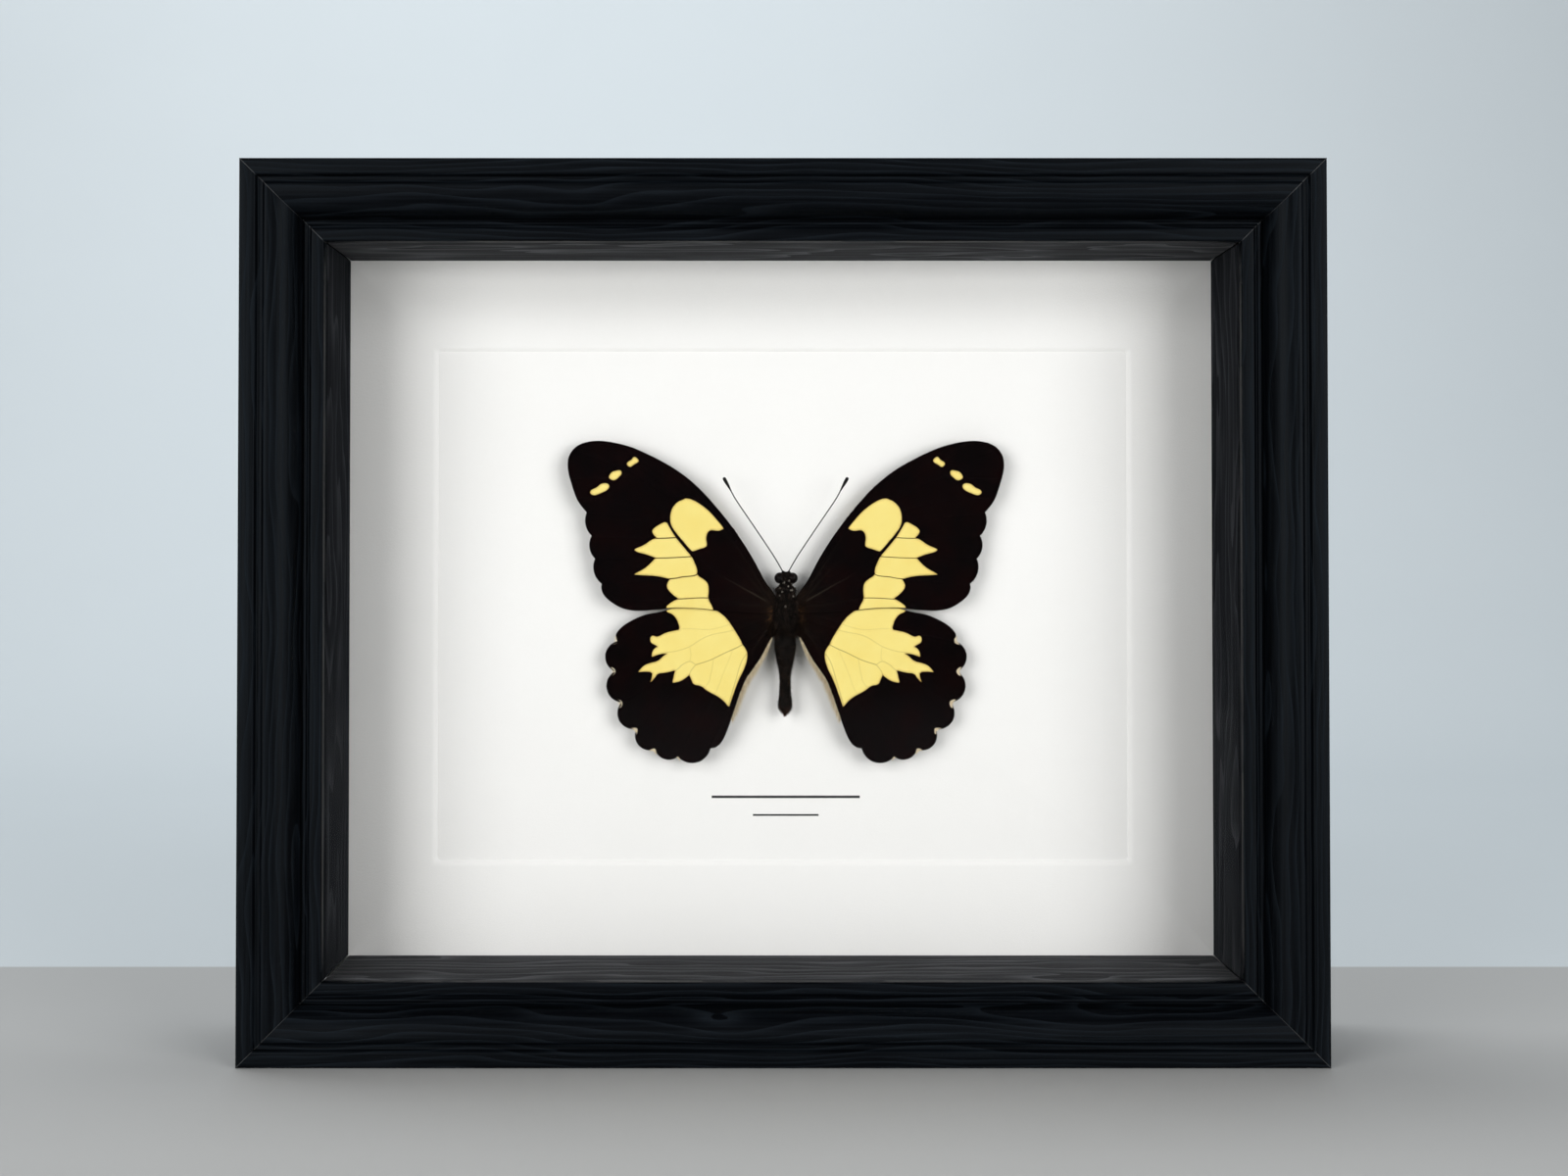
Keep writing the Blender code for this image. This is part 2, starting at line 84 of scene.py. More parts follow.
REBATE_EDGE = 12.0
REBATE_START = 8.2
PANEL_WIDTH, PANEL_HEIGHT = 167 * MM, 124 * MM
PANEL_X, PANEL_RISE = 0.4 * MM, 0.4 * MM
PANEL_DEPTH = 0.5 * MM
PANEL_BEVEL = 1.5 * MM


# ---------------------------------------------------------------- small helpers


def place(built, node_names):
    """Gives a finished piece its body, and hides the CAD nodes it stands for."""
    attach(built, "root")
    if node_names:
        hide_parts(*node_names)
    return built


def mesh_object(name, verts, faces, material, smooth=True, angle=40):
    mesh = bpy.data.meshes.new(name)
    mesh.from_pydata([tuple(v) for v in verts], [], [tuple(f) for f in faces])
    mesh.validate()
    if smooth:
        mesh.shade_smooth()
        mesh.set_sharp_from_angle(angle=math.radians(angle))
    mesh.materials.append(material)
    built = bpy.data.objects.new(name, mesh)
    bpy.context.scene.collection.objects.link(built)
    return built


def point_floats(built, name, values):
    """A number for each point, which materials read by its name."""
    attribute = built.data.attributes.new(name, "FLOAT", "POINT")
    attribute.data.foreach_set("value", np.asarray(values, np.float32))


def loft(name, rings, material, angle=40, caps=True):
    """A closed skin through rings of equal count."""
    count = len(rings[0])
    verts = [p for ring in rings for p in ring]
    faces = []
    for r in range(len(rings) - 1):
        for i in range(count):
            j = (i + 1) % count
            faces.append((r * count + i, r * count + j, (r + 1) * count + j, (r + 1) * count + i))
    if caps:
        faces.append(tuple(range(count - 1, -1, -1)))
        faces.append(tuple((len(rings) - 1) * count + i for i in range(count)))
    built = mesh_object(name, verts, faces, material, angle=angle)
    face_out(built)
    return built


def face_out(built):
    data = bmesh.new()
    data.from_mesh(built.data)
    bmesh.ops.recalc_face_normals(data, faces=data.faces)
    data.to_mesh(built.data)
    data.free()


def turns(count):
    """Angles all the way round."""
    return [2 * math.pi * k / count for k in range(count)]


def arc(centre, radius, start_deg, end_deg, steps):
    angles = np.radians(np.linspace(start_deg, end_deg, steps + 1))
    return [(centre[0] + radius * math.cos(a), centre[1] + radius * math.sin(a)) for a in angles]


def spline(padded, steps):
    """A Catmull-Rom curve through all the points but the first and the last, without its end."""
    curve = []
    for a, b, c, d in zip(padded, padded[1:], padded[2:], padded[3:]):
        for i in range(steps):
            t = i / steps
            curve.append(tuple(
                0.5 * (2 * q + (r - p) * t + (2 * p - 5 * q + 4 * r - s) * t * t
                       + (3 * q - p - 3 * r + s) * t ** 3)
                for p, q, r, s in zip(a, b, c, d)))
    return curve


def smooth_line(points, steps):
    """A smooth curve through the points, open at both ends."""
    return spline([points[0], *points, points[-1]], steps) + [tuple(points[-1])]


def smooth_loop(points, steps):
    """A smooth closed curve through the points."""
    return spline([points[-1], *points, points[0], points[1]], steps)


def lobe(start, end, bulge, steps):
    """A circular arc that stands out by bulge, on the left of the way from start to end."""
    start, end = Vector(start), Vector(end)
    chord = end - start
    half = chord.length / 2
    out = Vector((-chord.y, chord.x)).normalized()
    radius = (half * half + bulge * bulge) / (2 * bulge)
    centre = (start + end) / 2 - out * (radius - bulge)
    sweep = 2 * math.asin(min(1.0, half / radius))
    if bulge > half:
        sweep = 2 * math.pi - sweep
    points = []
    for i in range(steps):
        angle = sweep * (0.5 - i / steps)
        along = chord.normalized() * -math.sin(angle)
        points.append(tuple(centre + (out * math.cos(angle) + along) * radius))
    return points


# ---------------------------------------------------------------- materials


class Shader:
    """A material under construction: short calls for nodes and links."""

    def __init__(self, name, roughness=0.5, **sockets):
        self.material = bpy.data.materials.new(name)
        self.material.use_nodes = True
        self.tree = self.material.node_tree
        self.principled = self.tree.nodes["Principled BSDF"]
        self.output = self.tree.nodes["Material Output"]
        self.principled.inputs["Roughness"].default_value = roughness
        for socket, value in sockets.items():
            self.principled.inputs[socket.replace("_", " ")].default_value = value

    def add(self, kind, *inputs, **settings):
        made = self.tree.nodes.new("ShaderNode" + kind)
        for key, value in settings.items():
            setattr(made, key, value)
        for index, value in enumerate(inputs):
            if value is None:
                continue
            if isinstance(value, bpy.types.NodeSocket):
                self.tree.links.new(value, made.inputs[index])
            else:
                made.inputs[index].default_value = value
        return made

    def math(self, operation, *values):
        return self.add("Math", *values, operation=operation).outputs[0]

    def point(self, scale=(1, 1, 1), offset=(0, 0, 0)):
        """Object coordinates in metres, scaled."""
        coords = self.add("TexCoord").outputs["Object"]
        moved = self.add("Mapping", coords, offset)
        moved.inputs["Scale"].default_value = scale
        return moved.outputs[0]

    def noise(self, vector, scale, detail=3.0, roughness=0.55):
        made = self.add("TexNoise", vector)
        made.inputs["Scale"].default_value = scale
        made.inputs["Detail"].default_value = detail
        made.inputs["Roughness"].default_value = roughness
        return made.outputs["Fac"]

    def attribute(self, name):
        return self.add("Attribute", attribute_name=name).outputs["Fac"]

    def span(self, value, low, high, to_low=0.0, to_high=1.0):
        """Maps low..high onto to_low..to_high, clamped."""
        return self.add("MapRange", value, low, high, to_low, to_high).outputs[0]

    def blend(self, factor, first, second, mode="MIX"):
        """Mixes two colours, each a socket or a tuple."""
        made = self.tree.nodes.new("ShaderNodeMix")
        made.data_type = "RGBA"
        made.blend_type = mode
        for socket, value in ((made.inputs[0], factor), (made.inputs[6], first), (made.inputs[7], second)):
            if isinstance(value, bpy.types.NodeSocket):
                self.tree.links.new(value, socket)
            elif isinstance(value, (int, float)):
                socket.default_value = value
            else:
                socket.default_value = (*value, 1.0)
        return made.outputs[2]

    def bump(self, height, distance, strength=1.0):
        made = self.add("Bump")
        made.inputs["Strength"].default_value = strength
        made.inputs["Distance"].default_value = distance
        self.tree.links.new(height, made.inputs["Height"])
        self.tree.links.new(made.outputs[0], self.principled.inputs["Normal"])

    def set(self, **links):
        for socket, value in links.items():
            self.tree.links.new(value, self.principled.inputs[socket.replace("_", " ")])


PAINT_SHEEN = (0.79, 0.90, 1.0, 1.0)  # the black paint's gloss is a little blue


GRAIN_SCALE, FIBRE_SCALE = (14, 60, 60), (30, 1500, 1500)  # along the rail and twice across it
RING_CENTRE, RING_SPACING, RING_WANDER = 0.035, 0.0016, 0.012


def painted_wood(name, along, dark, light, low_rough, high_rough, gloss, seed):
    """Wood under thin black paint: growth rings and fibres that run along one axis, all through."""
    made = Shader(name, Specular_IOR_Level=gloss, Specular_Tint=PAINT_SHEEN)
    coords = made.add("TexCoord").outputs["Object"]
    split = made.add("SeparateXYZ", coords)
    length = split.outputs["XYZ".index(along)]
    across = split.outputs["Z" if along == "X" else "X"]
    depth = split.outputs["Y"]
    grain = made.add("CombineXYZ", length, across, depth).outputs[0]
    slow = made.add("Mapping", grain, (seed, 0, seed))
    slow.inputs["Scale"].default_value = GRAIN_SCALE
    wander = made.noise(slow.outputs[0], 1.0, 2.0)
    a = made.math("ADD", across, RING_CENTRE + 0.004 * math.sin(seed))
    b = made.math("ADD", depth, RING_CENTRE * 0.6)
    radius = made.math("SQRT", made.math("ADD", made.math("MULTIPLY", a, a), made.math("MULTIPLY", b, b)))
    bent = made.math("ADD", radius, made.math("MULTIPLY", wander, RING_WANDER))
    saw = made.math("FRACT", made.math("MULTIPLY", bent, 1 / RING_SPACING))
    rings = made.math("POWER", saw, 4.0)
    fine = made.add("Mapping", grain, (0, seed, 0))
    fine.inputs["Scale"].default_value = FIBRE_SCALE
    fibre = made.noise(fine.outputs[0], 1.0, 2.0)
    cloud = made.noise(coords, 45.0, 2.0)
    mask = made.math("ADD", made.math("MULTIPLY", rings, 0.45), made.math("MULTIPLY", fibre, 0.55))
    shade = made.math("MULTIPLY", made.span(mask, 0.22, 0.62), made.span(cloud, 0.3, 0.7, 0.55, 1.0))
    made.set(Base_Color=made.blend(shade, dark, light),
             Roughness=made.span(shade, 0.15, 0.75, low_rough, high_rough))
    made.bump(mask, 0.00009, 0.8)
    return made.material


def glass_material():
    """Thin clear glass: mostly let through, with a faint gloss that grows at a slant."""
    made = Shader("clear_glass")
    tree = made.tree
    tree.nodes.remove(made.principled)
    clear = made.add("BsdfTransparent", (0.988, 0.988, 0.986, 1))
    gloss = made.add("BsdfGlossy", (1, 1, 1, 1))
    smudge = made.noise(made.point(), 18.0, 2.0)
    tree.links.new(made.span(smudge, 0.35, 0.75, 0.03, 0.07), gloss.inputs["Roughness"])
    fresnel = made.add("Fresnel", 1.35)
    share = made.math("MULTIPLY", fresnel.outputs[0], 0.15)
    mixed = made.add("MixShader", share, clear.outputs[0], gloss.outputs[0])
    tree.links.new(mixed.outputs[0], made.output.inputs["Surface"])
    return made.material


def card_material():
    """White card with a fine tooth."""
    made = Shader("white_card", 0.88, Specular_IOR_Level=0.25)
    coords = made.point()
    tooth = made.noise(coords, 2600.0, 1.0, 0.7)
    fibre = made.noise(made.point((1, 1, 2.2)), 700.0, 2.0)
    cloud = made.noise(coords, 22.0, 2.0)
    mottled = made.blend(made.span(cloud, 0.35, 0.7), (0.888, 0.882, 0.870), (0.903, 0.897, 0.886))
    flecked = made.blend(made.span(fibre, 0.62, 0.8, 0, 0.5), mottled, (0.863, 0.857, 0.844))
    made.set(Base_Color=flecked)
    made.bump(made.math("ADD", tooth, made.math("MULTIPLY", fibre, 0.8)), 0.00004, 0.6)
    return made.material


def hardboard_material():
    made = Shader("hardboard", 0.7)
    coords = made.point()
    chips = made.noise(coords, 900.0, 5.0, 0.7)
    cloud = made.noise(coords, 30.0, 3.0)
    colour = made.blend(chips, (0.13, 0.07, 0.035), (0.30, 0.19, 0.10))
    made.set(Base_Color=made.blend(made.span(cloud, 0.3, 0.7, 0, 0.35), colour, (0.22, 0.14, 0.08)),
             Roughness=made.span(chips, 0.3, 0.7, 0.55, 0.8))
    made.bump(chips, 0.00008, 0.7)
    return made.material


def steel_material():
    made = Shader("zinc_steel", 0.35, Metallic=1.0)
    coords = made.point()
    spangle = made.noise(coords, 350.0, 2.0)
    scratch = made.noise(made.point((1, 1, 30)), 160.0, 3.0)
    made.set(Base_Color=made.blend(made.span(spangle, 0.35, 0.65), (0.42, 0.43, 0.44), (0.6, 0.6, 0.59)),
             Roughness=made.span(scratch, 0.3, 0.7, 0.25, 0.48))
    made.bump(scratch, 0.00002, 0.5)
    return made.material


def wing_material(name):
    """Scale-covered wing: brown-black ground, butter-yellow patches, veins and the rows of scales."""
    made = Shader(name, 0.85, Specular_IOR_Level=0.02)
    coords = made.point()
    yellow = made.attribute("yellow")
    vein = made.attribute("vein")
    ray = made.attribute("ray")
    reach = made.attribute("reach")
    scales = made.noise(coords, 5200.0, 1.0, 0.75)
    patchy = made.noise(coords, 160.0, 3.0)

    def fan(round_scale, out_scale):
        """Coordinates that run round the wing's root and out from it."""
        round_root, out = made.math("MULTIPLY", ray, round_scale), made.math("MULTIPLY", reach, out_scale)
        return made.add("CombineXYZ", round_root, out, 0.0).outputs[0]

    streaks = made.noise(fan(46.0, 2.2), 3.0, 4.0)
    rows = made.noise(fan(6.0, 70.0), 1.0, 3.0, 0.7)
    dark = made.blend(made.span(streaks, 0.38, 0.72), (0.0008, 0.0004, 0.0005), (0.0042, 0.0022, 0.0024))
    dark = made.blend(made.span(patchy, 0.4, 0.7, 0, 0.8), dark, (0.0046, 0.0010, 0.0010))
    dark = made.blend(made.span(rows, 0.55, 0.8, 0, 0.35), dark, (0.0062, 0.0038, 0.0042))
    dark = made.blend(made.math("MULTIPLY", vein, made.span(patchy, 0.35, 0.65, 0.0, 0.18)), dark,
                      (0.0090, 0.0068, 0.0064))
    dust = made.math("MULTIPLY", made.attribute("dust"), made.span(streaks, 0.42, 0.68))
    dark = made.blend(dust, dark, (0.017, 0.012, 0.0075))
    dark = made.blend(made.attribute("pale"), dark, (0.20, 0.165, 0.12))
    bright = made.blend(made.span(patchy, 0.3, 0.7), (0.855, 0.69, 0.205), (0.885, 0.745, 0.25))
    bright = made.blend(made.span(streaks, 0.45, 0.8, 0, 0.5), bright, (0.83, 0.66, 0.19))
    bright = made.blend(made.span(scales, 0.55, 0.85, 0, 0.25), bright, (0.90, 0.79, 0.36))
    ochre = made.math("MULTIPLY", made.attribute("border"), made.span(streaks, 0.3, 0.7, 0.35, 0.95))
    bright = made.blend(ochre, bright, (0.40, 0.225, 0.055))
    colour = made.blend(yellow, dark, bright)
    # The dark lines: the veins, and the forewing's inner-margin line, which is partly the margin's own
    # brown and partly painted shade.
    colour = made.blend(made.attribute("line"), colour, (0.060, 0.034, 0.012))
    made.set(Base_Color=colour)
    ridges = made.math("ADD", scales, made.math("MULTIPLY", streaks, 1.5))
    made.bump(ridges, 0.00003, 0.55)
    return made.material


def hair_material(name, root, tip, roughness=0.6):
    """Hair whose colour runs from root to tip, with its own tone from strand to strand."""
    made = Shader(name, roughness, Specular_IOR_Level=0.05)
    tone = made.attribute("tone")
    made.set(Base_Color=made.blend(tone, root, tip))
    fibre = made.noise(made.point(), 4000.0, 2.0)
    made.bump(fibre, 0.00001, 0.4)
    return made.material


def body_material(name, dark, light, roughness):
    made = Shader(name, roughness, Specular_IOR_Level=0.08)
    coords = made.point()
    grain = made.noise(coords, 2200.0, 4.0, 0.7)
    cloud = made.noise(coords, 500.0, 3.0)
    ring = made.attribute("ring")
    colour = made.blend(made.span(cloud, 0.35, 0.7), dark, light)
    made.set(Base_Color=made.blend(made.math("MULTIPLY", ring, 0.7), colour, (0.006, 0.004, 0.003)))
    made.bump(made.math("ADD", grain, cloud), 0.00006, 0.8)
    return made.material


def eye_material():
    """Compound eye: glossy dark brown over a fine honeycomb."""
    made = Shader("compound_eye", 0.3, Coat_Weight=0.1, Coat_Roughness=0.06, Specular_IOR_Level=0.04)
    cells = made.add("TexVoronoi", made.point(), feature="DISTANCE_TO_EDGE")
    cells.inputs["Scale"].default_value = 14000.0
    edge = made.span(cells.outputs["Distance"], 0.0, 0.12)
    cloud = made.noise(made.point(), 900.0, 3.0)
    colour = made.blend(made.span(cloud, 0.35, 0.7), (0.0012, 0.0007, 0.0007), (0.0055, 0.0028, 0.0026))
    made.set(Base_Color=made.blend(edge, (0.0022, 0.0016, 0.0015), colour))
    made.bump(edge, 0.00001, 0.6)
    return made.material


def horn_material():
    made = Shader("antenna_horn", 0.5, Specular_IOR_Level=0.15)
    rings = made.add("TexWave", made.point(), wave_type="BANDS", bands_direction="Z")
    rings.inputs["Scale"].default_value = 420.0
    cloud = made.noise(made.point(), 1500.0, 3.0)
    made.set(Base_Color=made.blend(cloud, (0.0012, 0.0010, 0.0010), (0.0045, 0.0032, 0.0026)))
    made.bump(rings.outputs["Fac"], 0.00002, 0.6)
    return made.material


def ink_material():
    made = Shader("rule_ink", 0.7)
    speck = made.noise(made.point(), 3500.0, 4.0, 0.7)
    made.set(Base_Color=made.blend(made.span(speck, 0.6, 0.8), (0.022, 0.022, 0.024), (0.09, 0.09, 0.09)))
    return made.material


def glue_material():
    made = Shader("clear_glue", 0.25, Transmission_Weight=0.4)
    cloud = made.noise(made.point(), 900.0, 3.0)
    made.set(Base_Color=made.blend(cloud, (0.62, 0.52, 0.32), (0.75, 0.68, 0.5)))
    made.bump(cloud, 0.0001, 0.6)
    return made.material


def stage_material():
    """Pale grey where the frame stands, and a paler backdrop behind it."""
    made = Shader("pale_stage", 0.85, Specular_IOR_Level=0.2)
    coords = made.point()
    cloud = made.noise(coords, 3.0, 3.0)
    backdrop = made.blend(cloud, (0.62, 0.665, 0.69), (0.66, 0.705, 0.73))
    floor = made.blend(cloud, (0.45, 0.45, 0.445), (0.49, 0.49, 0.485))
    depth = made.add("SeparateXYZ", coords).outputs["Y"]
    behind = made.span(depth, SHELF_EDGE - SHELF_SOFTNESS, SHELF_EDGE + SHELF_SOFTNESS)
    made.set(Base_Color=made.blend(behind, floor, backdrop))
    return made.material


FRAME_DARK, FRAME_LIGHT = (0.0007, 0.0010, 0.0016), (0.0061, 0.0084, 0.0113)
# The spacer walls are one black-painted wood. The top and bottom walls' lighter colours are painted light,
# for the card's light they catch, and the side walls' darker colours are painted shade.
PAINTED_LIT_WALL_DARK, PAINTED_LIT_WALL_LIGHT = (0.042, 0.043, 0.046), (0.125, 0.128, 0.138)
PAINTED_SHADED_WALL_DARK, PAINTED_SHADED_WALL_LIGHT = (0.010, 0.011, 0.013), (0.036, 0.038, 0.043)

# ---------------------------------------------------------------- camera, lights and floor

CAMERA_X = -0.0066
CAMERA_DISTANCE = 0.4339  # from the frame's front plane
CAMERA_HEIGHT = 0.1124
CAMERA_LENS = 45.34
CAMERA_PITCH = 0.99  # degrees up
IMAGE_SHIFT_X, IMAGE_SHIFT_Y = 0.0197, -0.0429


def build_camera():
    data = bpy.data.cameras.new("camera")
    data.lens = CAMERA_LENS
    data.sensor_width = 36.0
    data.shift_x, data.shift_y = IMAGE_SHIFT_X, IMAGE_SHIFT_Y
    data.clip_start = 0.01
    camera = bpy.data.objects.new("camera", data)
    camera.location = (CAMERA_X, FRONT_Y - CAMERA_DISTANCE, CAMERA_HEIGHT)
    camera.rotation_euler = (math.radians(90 + CAMERA_PITCH), 0, 0)
    bpy.context.scene.collection.objects.link(camera)
    bpy.context.scene.camera = camera


def area_light(name, location, target, size, power, colour):
    data = bpy.data.lights.new(name, "AREA")
    data.shape = "RECTANGLE"
    data.size, data.size_y = size
    data.energy = power
    data.color = colour
    light = bpy.data.objects.new(name, data)
    light.location = location
    light.rotation_euler = (Vector(target) - Vector(location)).to_track_quat("-Z", "Y").to_euler()
    bpy.context.scene.collection.objects.link(light)


SHELF_EDGE = 0.085  # where the grey floor gives way to the backdrop
SHELF_SOFTNESS = 0.001
FLOOR_FRONT, SWEEP_START, SWEEP_RADIUS, BACKDROP_TOP = -3.0, 0.55, 0.9, 3.0
FLOOR_HALF_WIDTH = 4.0
WORLD_STRENGTH = 0.10


def build_stage():
    """A pale floor that curves up into a backdrop, soft lights in front and one for the backdrop."""
    profile = [(FLOOR_FRONT, 0.0), (SWEEP_START, 0.0)]
    profile += [(SWEEP_START + y, SWEEP_RADIUS + z) for y, z in arc((0, 0), SWEEP_RADIUS, -90, 0, 24)]
    profile += [(SWEEP_START + SWEEP_RADIUS, BACKDROP_TOP)]
    verts, faces = [], []
    for y, z in profile:
        verts += [(-FLOOR_HALF_WIDTH, y, z), (FLOOR_HALF_WIDTH, y, z)]
    for i in range(len(profile) - 1):
        faces.append((2 * i, 2 * i + 1, 2 * i + 3, 2 * i + 2))
    floor = mesh_object("floor", verts, faces, stage_material())

    world = bpy.data.worlds.new("studio")
    world.use_nodes = True
    world.node_tree.nodes["Background"].inputs[0].default_value = (0.80, 0.87, 0.92, 1)
    world.node_tree.nodes["Background"].inputs[1].default_value = WORLD_STRENGTH
    bpy.context.scene.world = world
    target = (0, 0, MIDDLE_Z)
    for side in (-1, 1):
        area_light(f"window_{side}", (0.63 * side, -0.82, MIDDLE_Z + 0.05), target,
                   (0.66, 0.34), 4.95, (1.0, 1.0, 0.99))
        area_light(f"window_upper_{side}", (0.62 * side, -0.72, MIDDLE_Z + 0.42), target,
                   (0.6, 0.3), 2.5, (1.0, 1.0, 1.0))
    area_light("backdrop_soft", (-0.3, 0.35, 1.7), (-0.1, 1.5, 0.5), (1.6, 0.8), 24.0, (0.95, 0.98, 1.0))


# ---------------------------------------------------------------- frame

# The moulding, in millimetres: inwards from the outside, then behind the front plane.
# A round has its centre and its radius.
OUTER_ROUND = ((0.6, 0.6), 0.6)
BAND_ROUND = ((3.1, 0.7), 0.7)
QUIRK = [(3.85, 1.2), (3.95, 1.32), (4.15, 1.38), (4.85, 1.4)]
COVE_ROUND = ((5.85, 1.3), 0.65)
COVE_START, COVE_SIZE = (6.3, 0.75), (6.3, 6.1)
GROOVE = [(12.68, 6.92), (12.82, 6.92)]
BEAD_ROUND = ((13.45, 6.6), 0.5)
STEP_TO_LIP = [(14.05, 6.62), (14.25, 6.6), (14.55, 6.38), (14.72, 6.08), (14.85, 6.02), (15.2, 6.0),
               (16.2, 6.0)]
LIP_DEPTH, LIP_ROUND = 6.0, 0.5
MITRE_GAP = 0.05 * MM
RAIL_STATIONS = 72
TAB_NUMBERS = {"top": (1, 2), "bottom": (3, 4), "left": (5, 6), "right": (7, 8)}
TAB_SLOT_GAP = 0.3 * MM
WAVER_SEEDS = {"top": 1.0, "bottom": 2.0, "left": 3.0, "right": 4.0}
PAINT_SEEDS = {"top": 0.0, "bottom": 2.3, "left": 4.1, "right": 6.7}
PLANING_WAVER = 0.02  # how far the planed and painted face strays from its section
MOULDED_DEPTH = 8.0


def rail_profile():
    """The moulding's section as (inwards, behind the front plane), in millimetres."""
    inner, back = RAIL_WIDTH / MM, FRAME_DEPTH / MM
    section = [(0, back), (0, back * 0.5), (0, 3.0)]
    section += arc(*OUTER_ROUND, 180, 270, 6)
    section += [(1.8, 0.0)]
    section += arc(*BAND_ROUND, 270, 360, 8)
    section += QUIRK
    section += arc(*COVE_ROUND, 190, 250, 5)
    for degrees in range(0, 91, 5):
        angle = math.radians(degrees)
        section.append((COVE_START[0] + COVE_SIZE[0] * math.sin(angle),
                        COVE_START[1] + COVE_SIZE[1] * (1 - math.cos(angle))))
    section += GROOVE
    section += arc(*BEAD_ROUND, 200, 340, 9)
    section += STEP_TO_LIP
    section += arc((inner - LIP_ROUND, LIP_DEPTH + LIP_ROUND), LIP_ROUND, 270, 360, 6)
    section += [(inner, REBATE_START), (REBATE_EDGE, REBATE_START), (REBATE_EDGE, back * 0.6),
                (REBATE_EDGE, back)]
    return section


def side_frame(side):
    """Half length across the outside, and a function from (along, inwards, depth) to the world."""
    half = (FRAME_WIDTH if side in ("top", "bottom") else FRAME_HEIGHT) / 2

    def to_world(along, inwards, depth):
        edge_x = FRAME_WIDTH / 2 - inwards
        edge_z = FRAME_HEIGHT / 2 - inwards
        x, z = {"top": (along, edge_z), "bottom": (along, -edge_z),
                "left": (-edge_x, along), "right": (edge_x, along)}[side]
        return Vector((x, FRONT_Y + depth, MIDDLE_Z + z))

    return half, to_world


def build_rail(side, material):
    """One mitred rail: its section at many stations, with the slight waver of a planed moulding."""
    half, to_world = side_frame(side)
    rings = []
    for i in range(RAIL_STATIONS + 1):
        share = -1 + 2 * i / RAIL_STATIONS
        ring = []
        for w, d in rail_profile():
            along = share * (half - w * MM - MITRE_GAP)
            waver = noise.noise(Vector((along * 38, w * 0.5, WAVER_SEEDS[side] * 7))) * PLANING_WAVER
            on_face = 1.0 if d < MOULDED_DEPTH and 0.2 < w < RAIL_WIDTH / MM - 0.1 else 0.0
            ring.append(to_world(along, w * MM, (d + abs(waver) * on_face) * MM))
        rings.append(ring)
    rail = loft(f"rail_{side}", rings, material, angle=50)
    cut_tab_slots(rail, side)
    return place(rail, [f"frame_rail_{side}"])


def cut_tab_slots(rail, side):
    """Opens the rail where its two steel tabs are driven in."""
    for number in TAB_NUMBERS[side]:
        low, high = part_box(f"backing_tab_{number}")
        low = [v - TAB_SLOT_GAP for v in low]
        high = [v + TAB_SLOT_GAP for v in high]
        corners = [(low[0], low[2]), (high[0], low[2]), (high[0], high[2]), (low[0], high[2])]
        cutter = loft(f"tab_slot_{number}", [[(x, y, z) for x, z in corners] for y in (low[1], high[1])],
                      rail.data.materials[0])
        modifier = rail.modifiers.new("slot", "BOOLEAN")
        modifier.operation = "DIFFERENCE"
        modifier.solver = "EXACT"
        modifier.object = cutter
        apply_modifiers(rail)
        bpy.data.objects.remove(cutter, do_unlink=True)


def apply_modifiers(built):
    graph = bpy.context.evaluated_depsgraph_get()
    made = bpy.data.meshes.new_from_object(built.evaluated_get(graph))
    built.modifiers.clear()
    built.data = made


SEAM_HALF_THICK = 0.07 * MM
SEAM_PROUD, SEAM_DEEP = 0.008, 0.6  # in front of the moulding's face and behind it, in millimetres


def build_mitre_seams(material):
    """The hair of filler that shows in each mitre, from the outer edge to the lip."""
    section = [p for p in rail_profile() if p[1] < REBATE_START + 0.1][:-1]
    for corner, (sx, sz) in {"top_left": (-1, 1), "top_right": (1, 1),
                             "bottom_left": (-1, -1), "bottom_right": (1, -1)}.items():
        rings = []
        for w, d in section:
            x = sx * (FRAME_WIDTH / 2 - w * MM)
            z = MIDDLE_Z + sz * (FRAME_HEIGHT / 2 - w * MM)
            ring = []
            for way, deep in ((-1, -SEAM_PROUD), (1, -SEAM_PROUD), (1, SEAM_DEEP), (-1, SEAM_DEEP)):
                offset = way * SEAM_HALF_THICK / math.sqrt(2)
                ring.append((x + offset * sz, FRONT_Y + (d + deep) * MM, z - offset * sx))
            rings.append(ring)
        seam = loft(f"mitre_seam_{corner}", rings, material)
        place(seam, None)


def seam_material():
    made = Shader("mitre_filler", 0.55)
    broken = made.noise(made.point(), 420.0, 3.0)
    shown = made.span(broken, 0.5, 0.66)
    made.set(Base_Color=made.blend(shown, (0.0010, 0.0014, 0.0020), (0.020, 0.023, 0.026)))
    made.bump(broken, 0.00003, 0.5)
    return made.material


def build_frame():
    for side, seed in PAINT_SEEDS.items():
        along = "X" if side in ("top", "bottom") else "Z"
        paint = painted_wood(f"black_rail_{side}", along, FRAME_DARK, FRAME_LIGHT, 0.42, 0.58, 0.06, seed)
        build_rail(side, paint)
        # Lighter colours on the top and bottom walls and darker ones on the side walls: painted light and
        # painted shade.
        dark, light = (PAINTED_LIT_WALL_DARK, PAINTED_LIT_WALL_LIGHT) if along == "X" else (PAINTED_SHADED_WALL_DARK, PAINTED_SHADED_WALL_LIGHT)
        wall = painted_wood(f"black_wall_{side}", along, dark, light, 0.6, 0.75, 0.0, seed + 1)
        assign(f"spacer_{side}", wall)
    build_mitre_seams(seam_material())


def assign(node_name, material):
    data = nodes_of_cad[node_name].data
    data.materials.clear()
    data.materials.append(material)


CARD_EDGE, CARD_CORNER, PANEL_CORNER = 0.25 * MM, 0.4 * MM, 0.9 * MM
PANEL_STEPS, PANEL_CURVE = 10, 2.4
PANEL_OVERDEEP, PANEL_RETURN = 1.14, 0.3 * MM  # the press sinks deepest just inside its edge


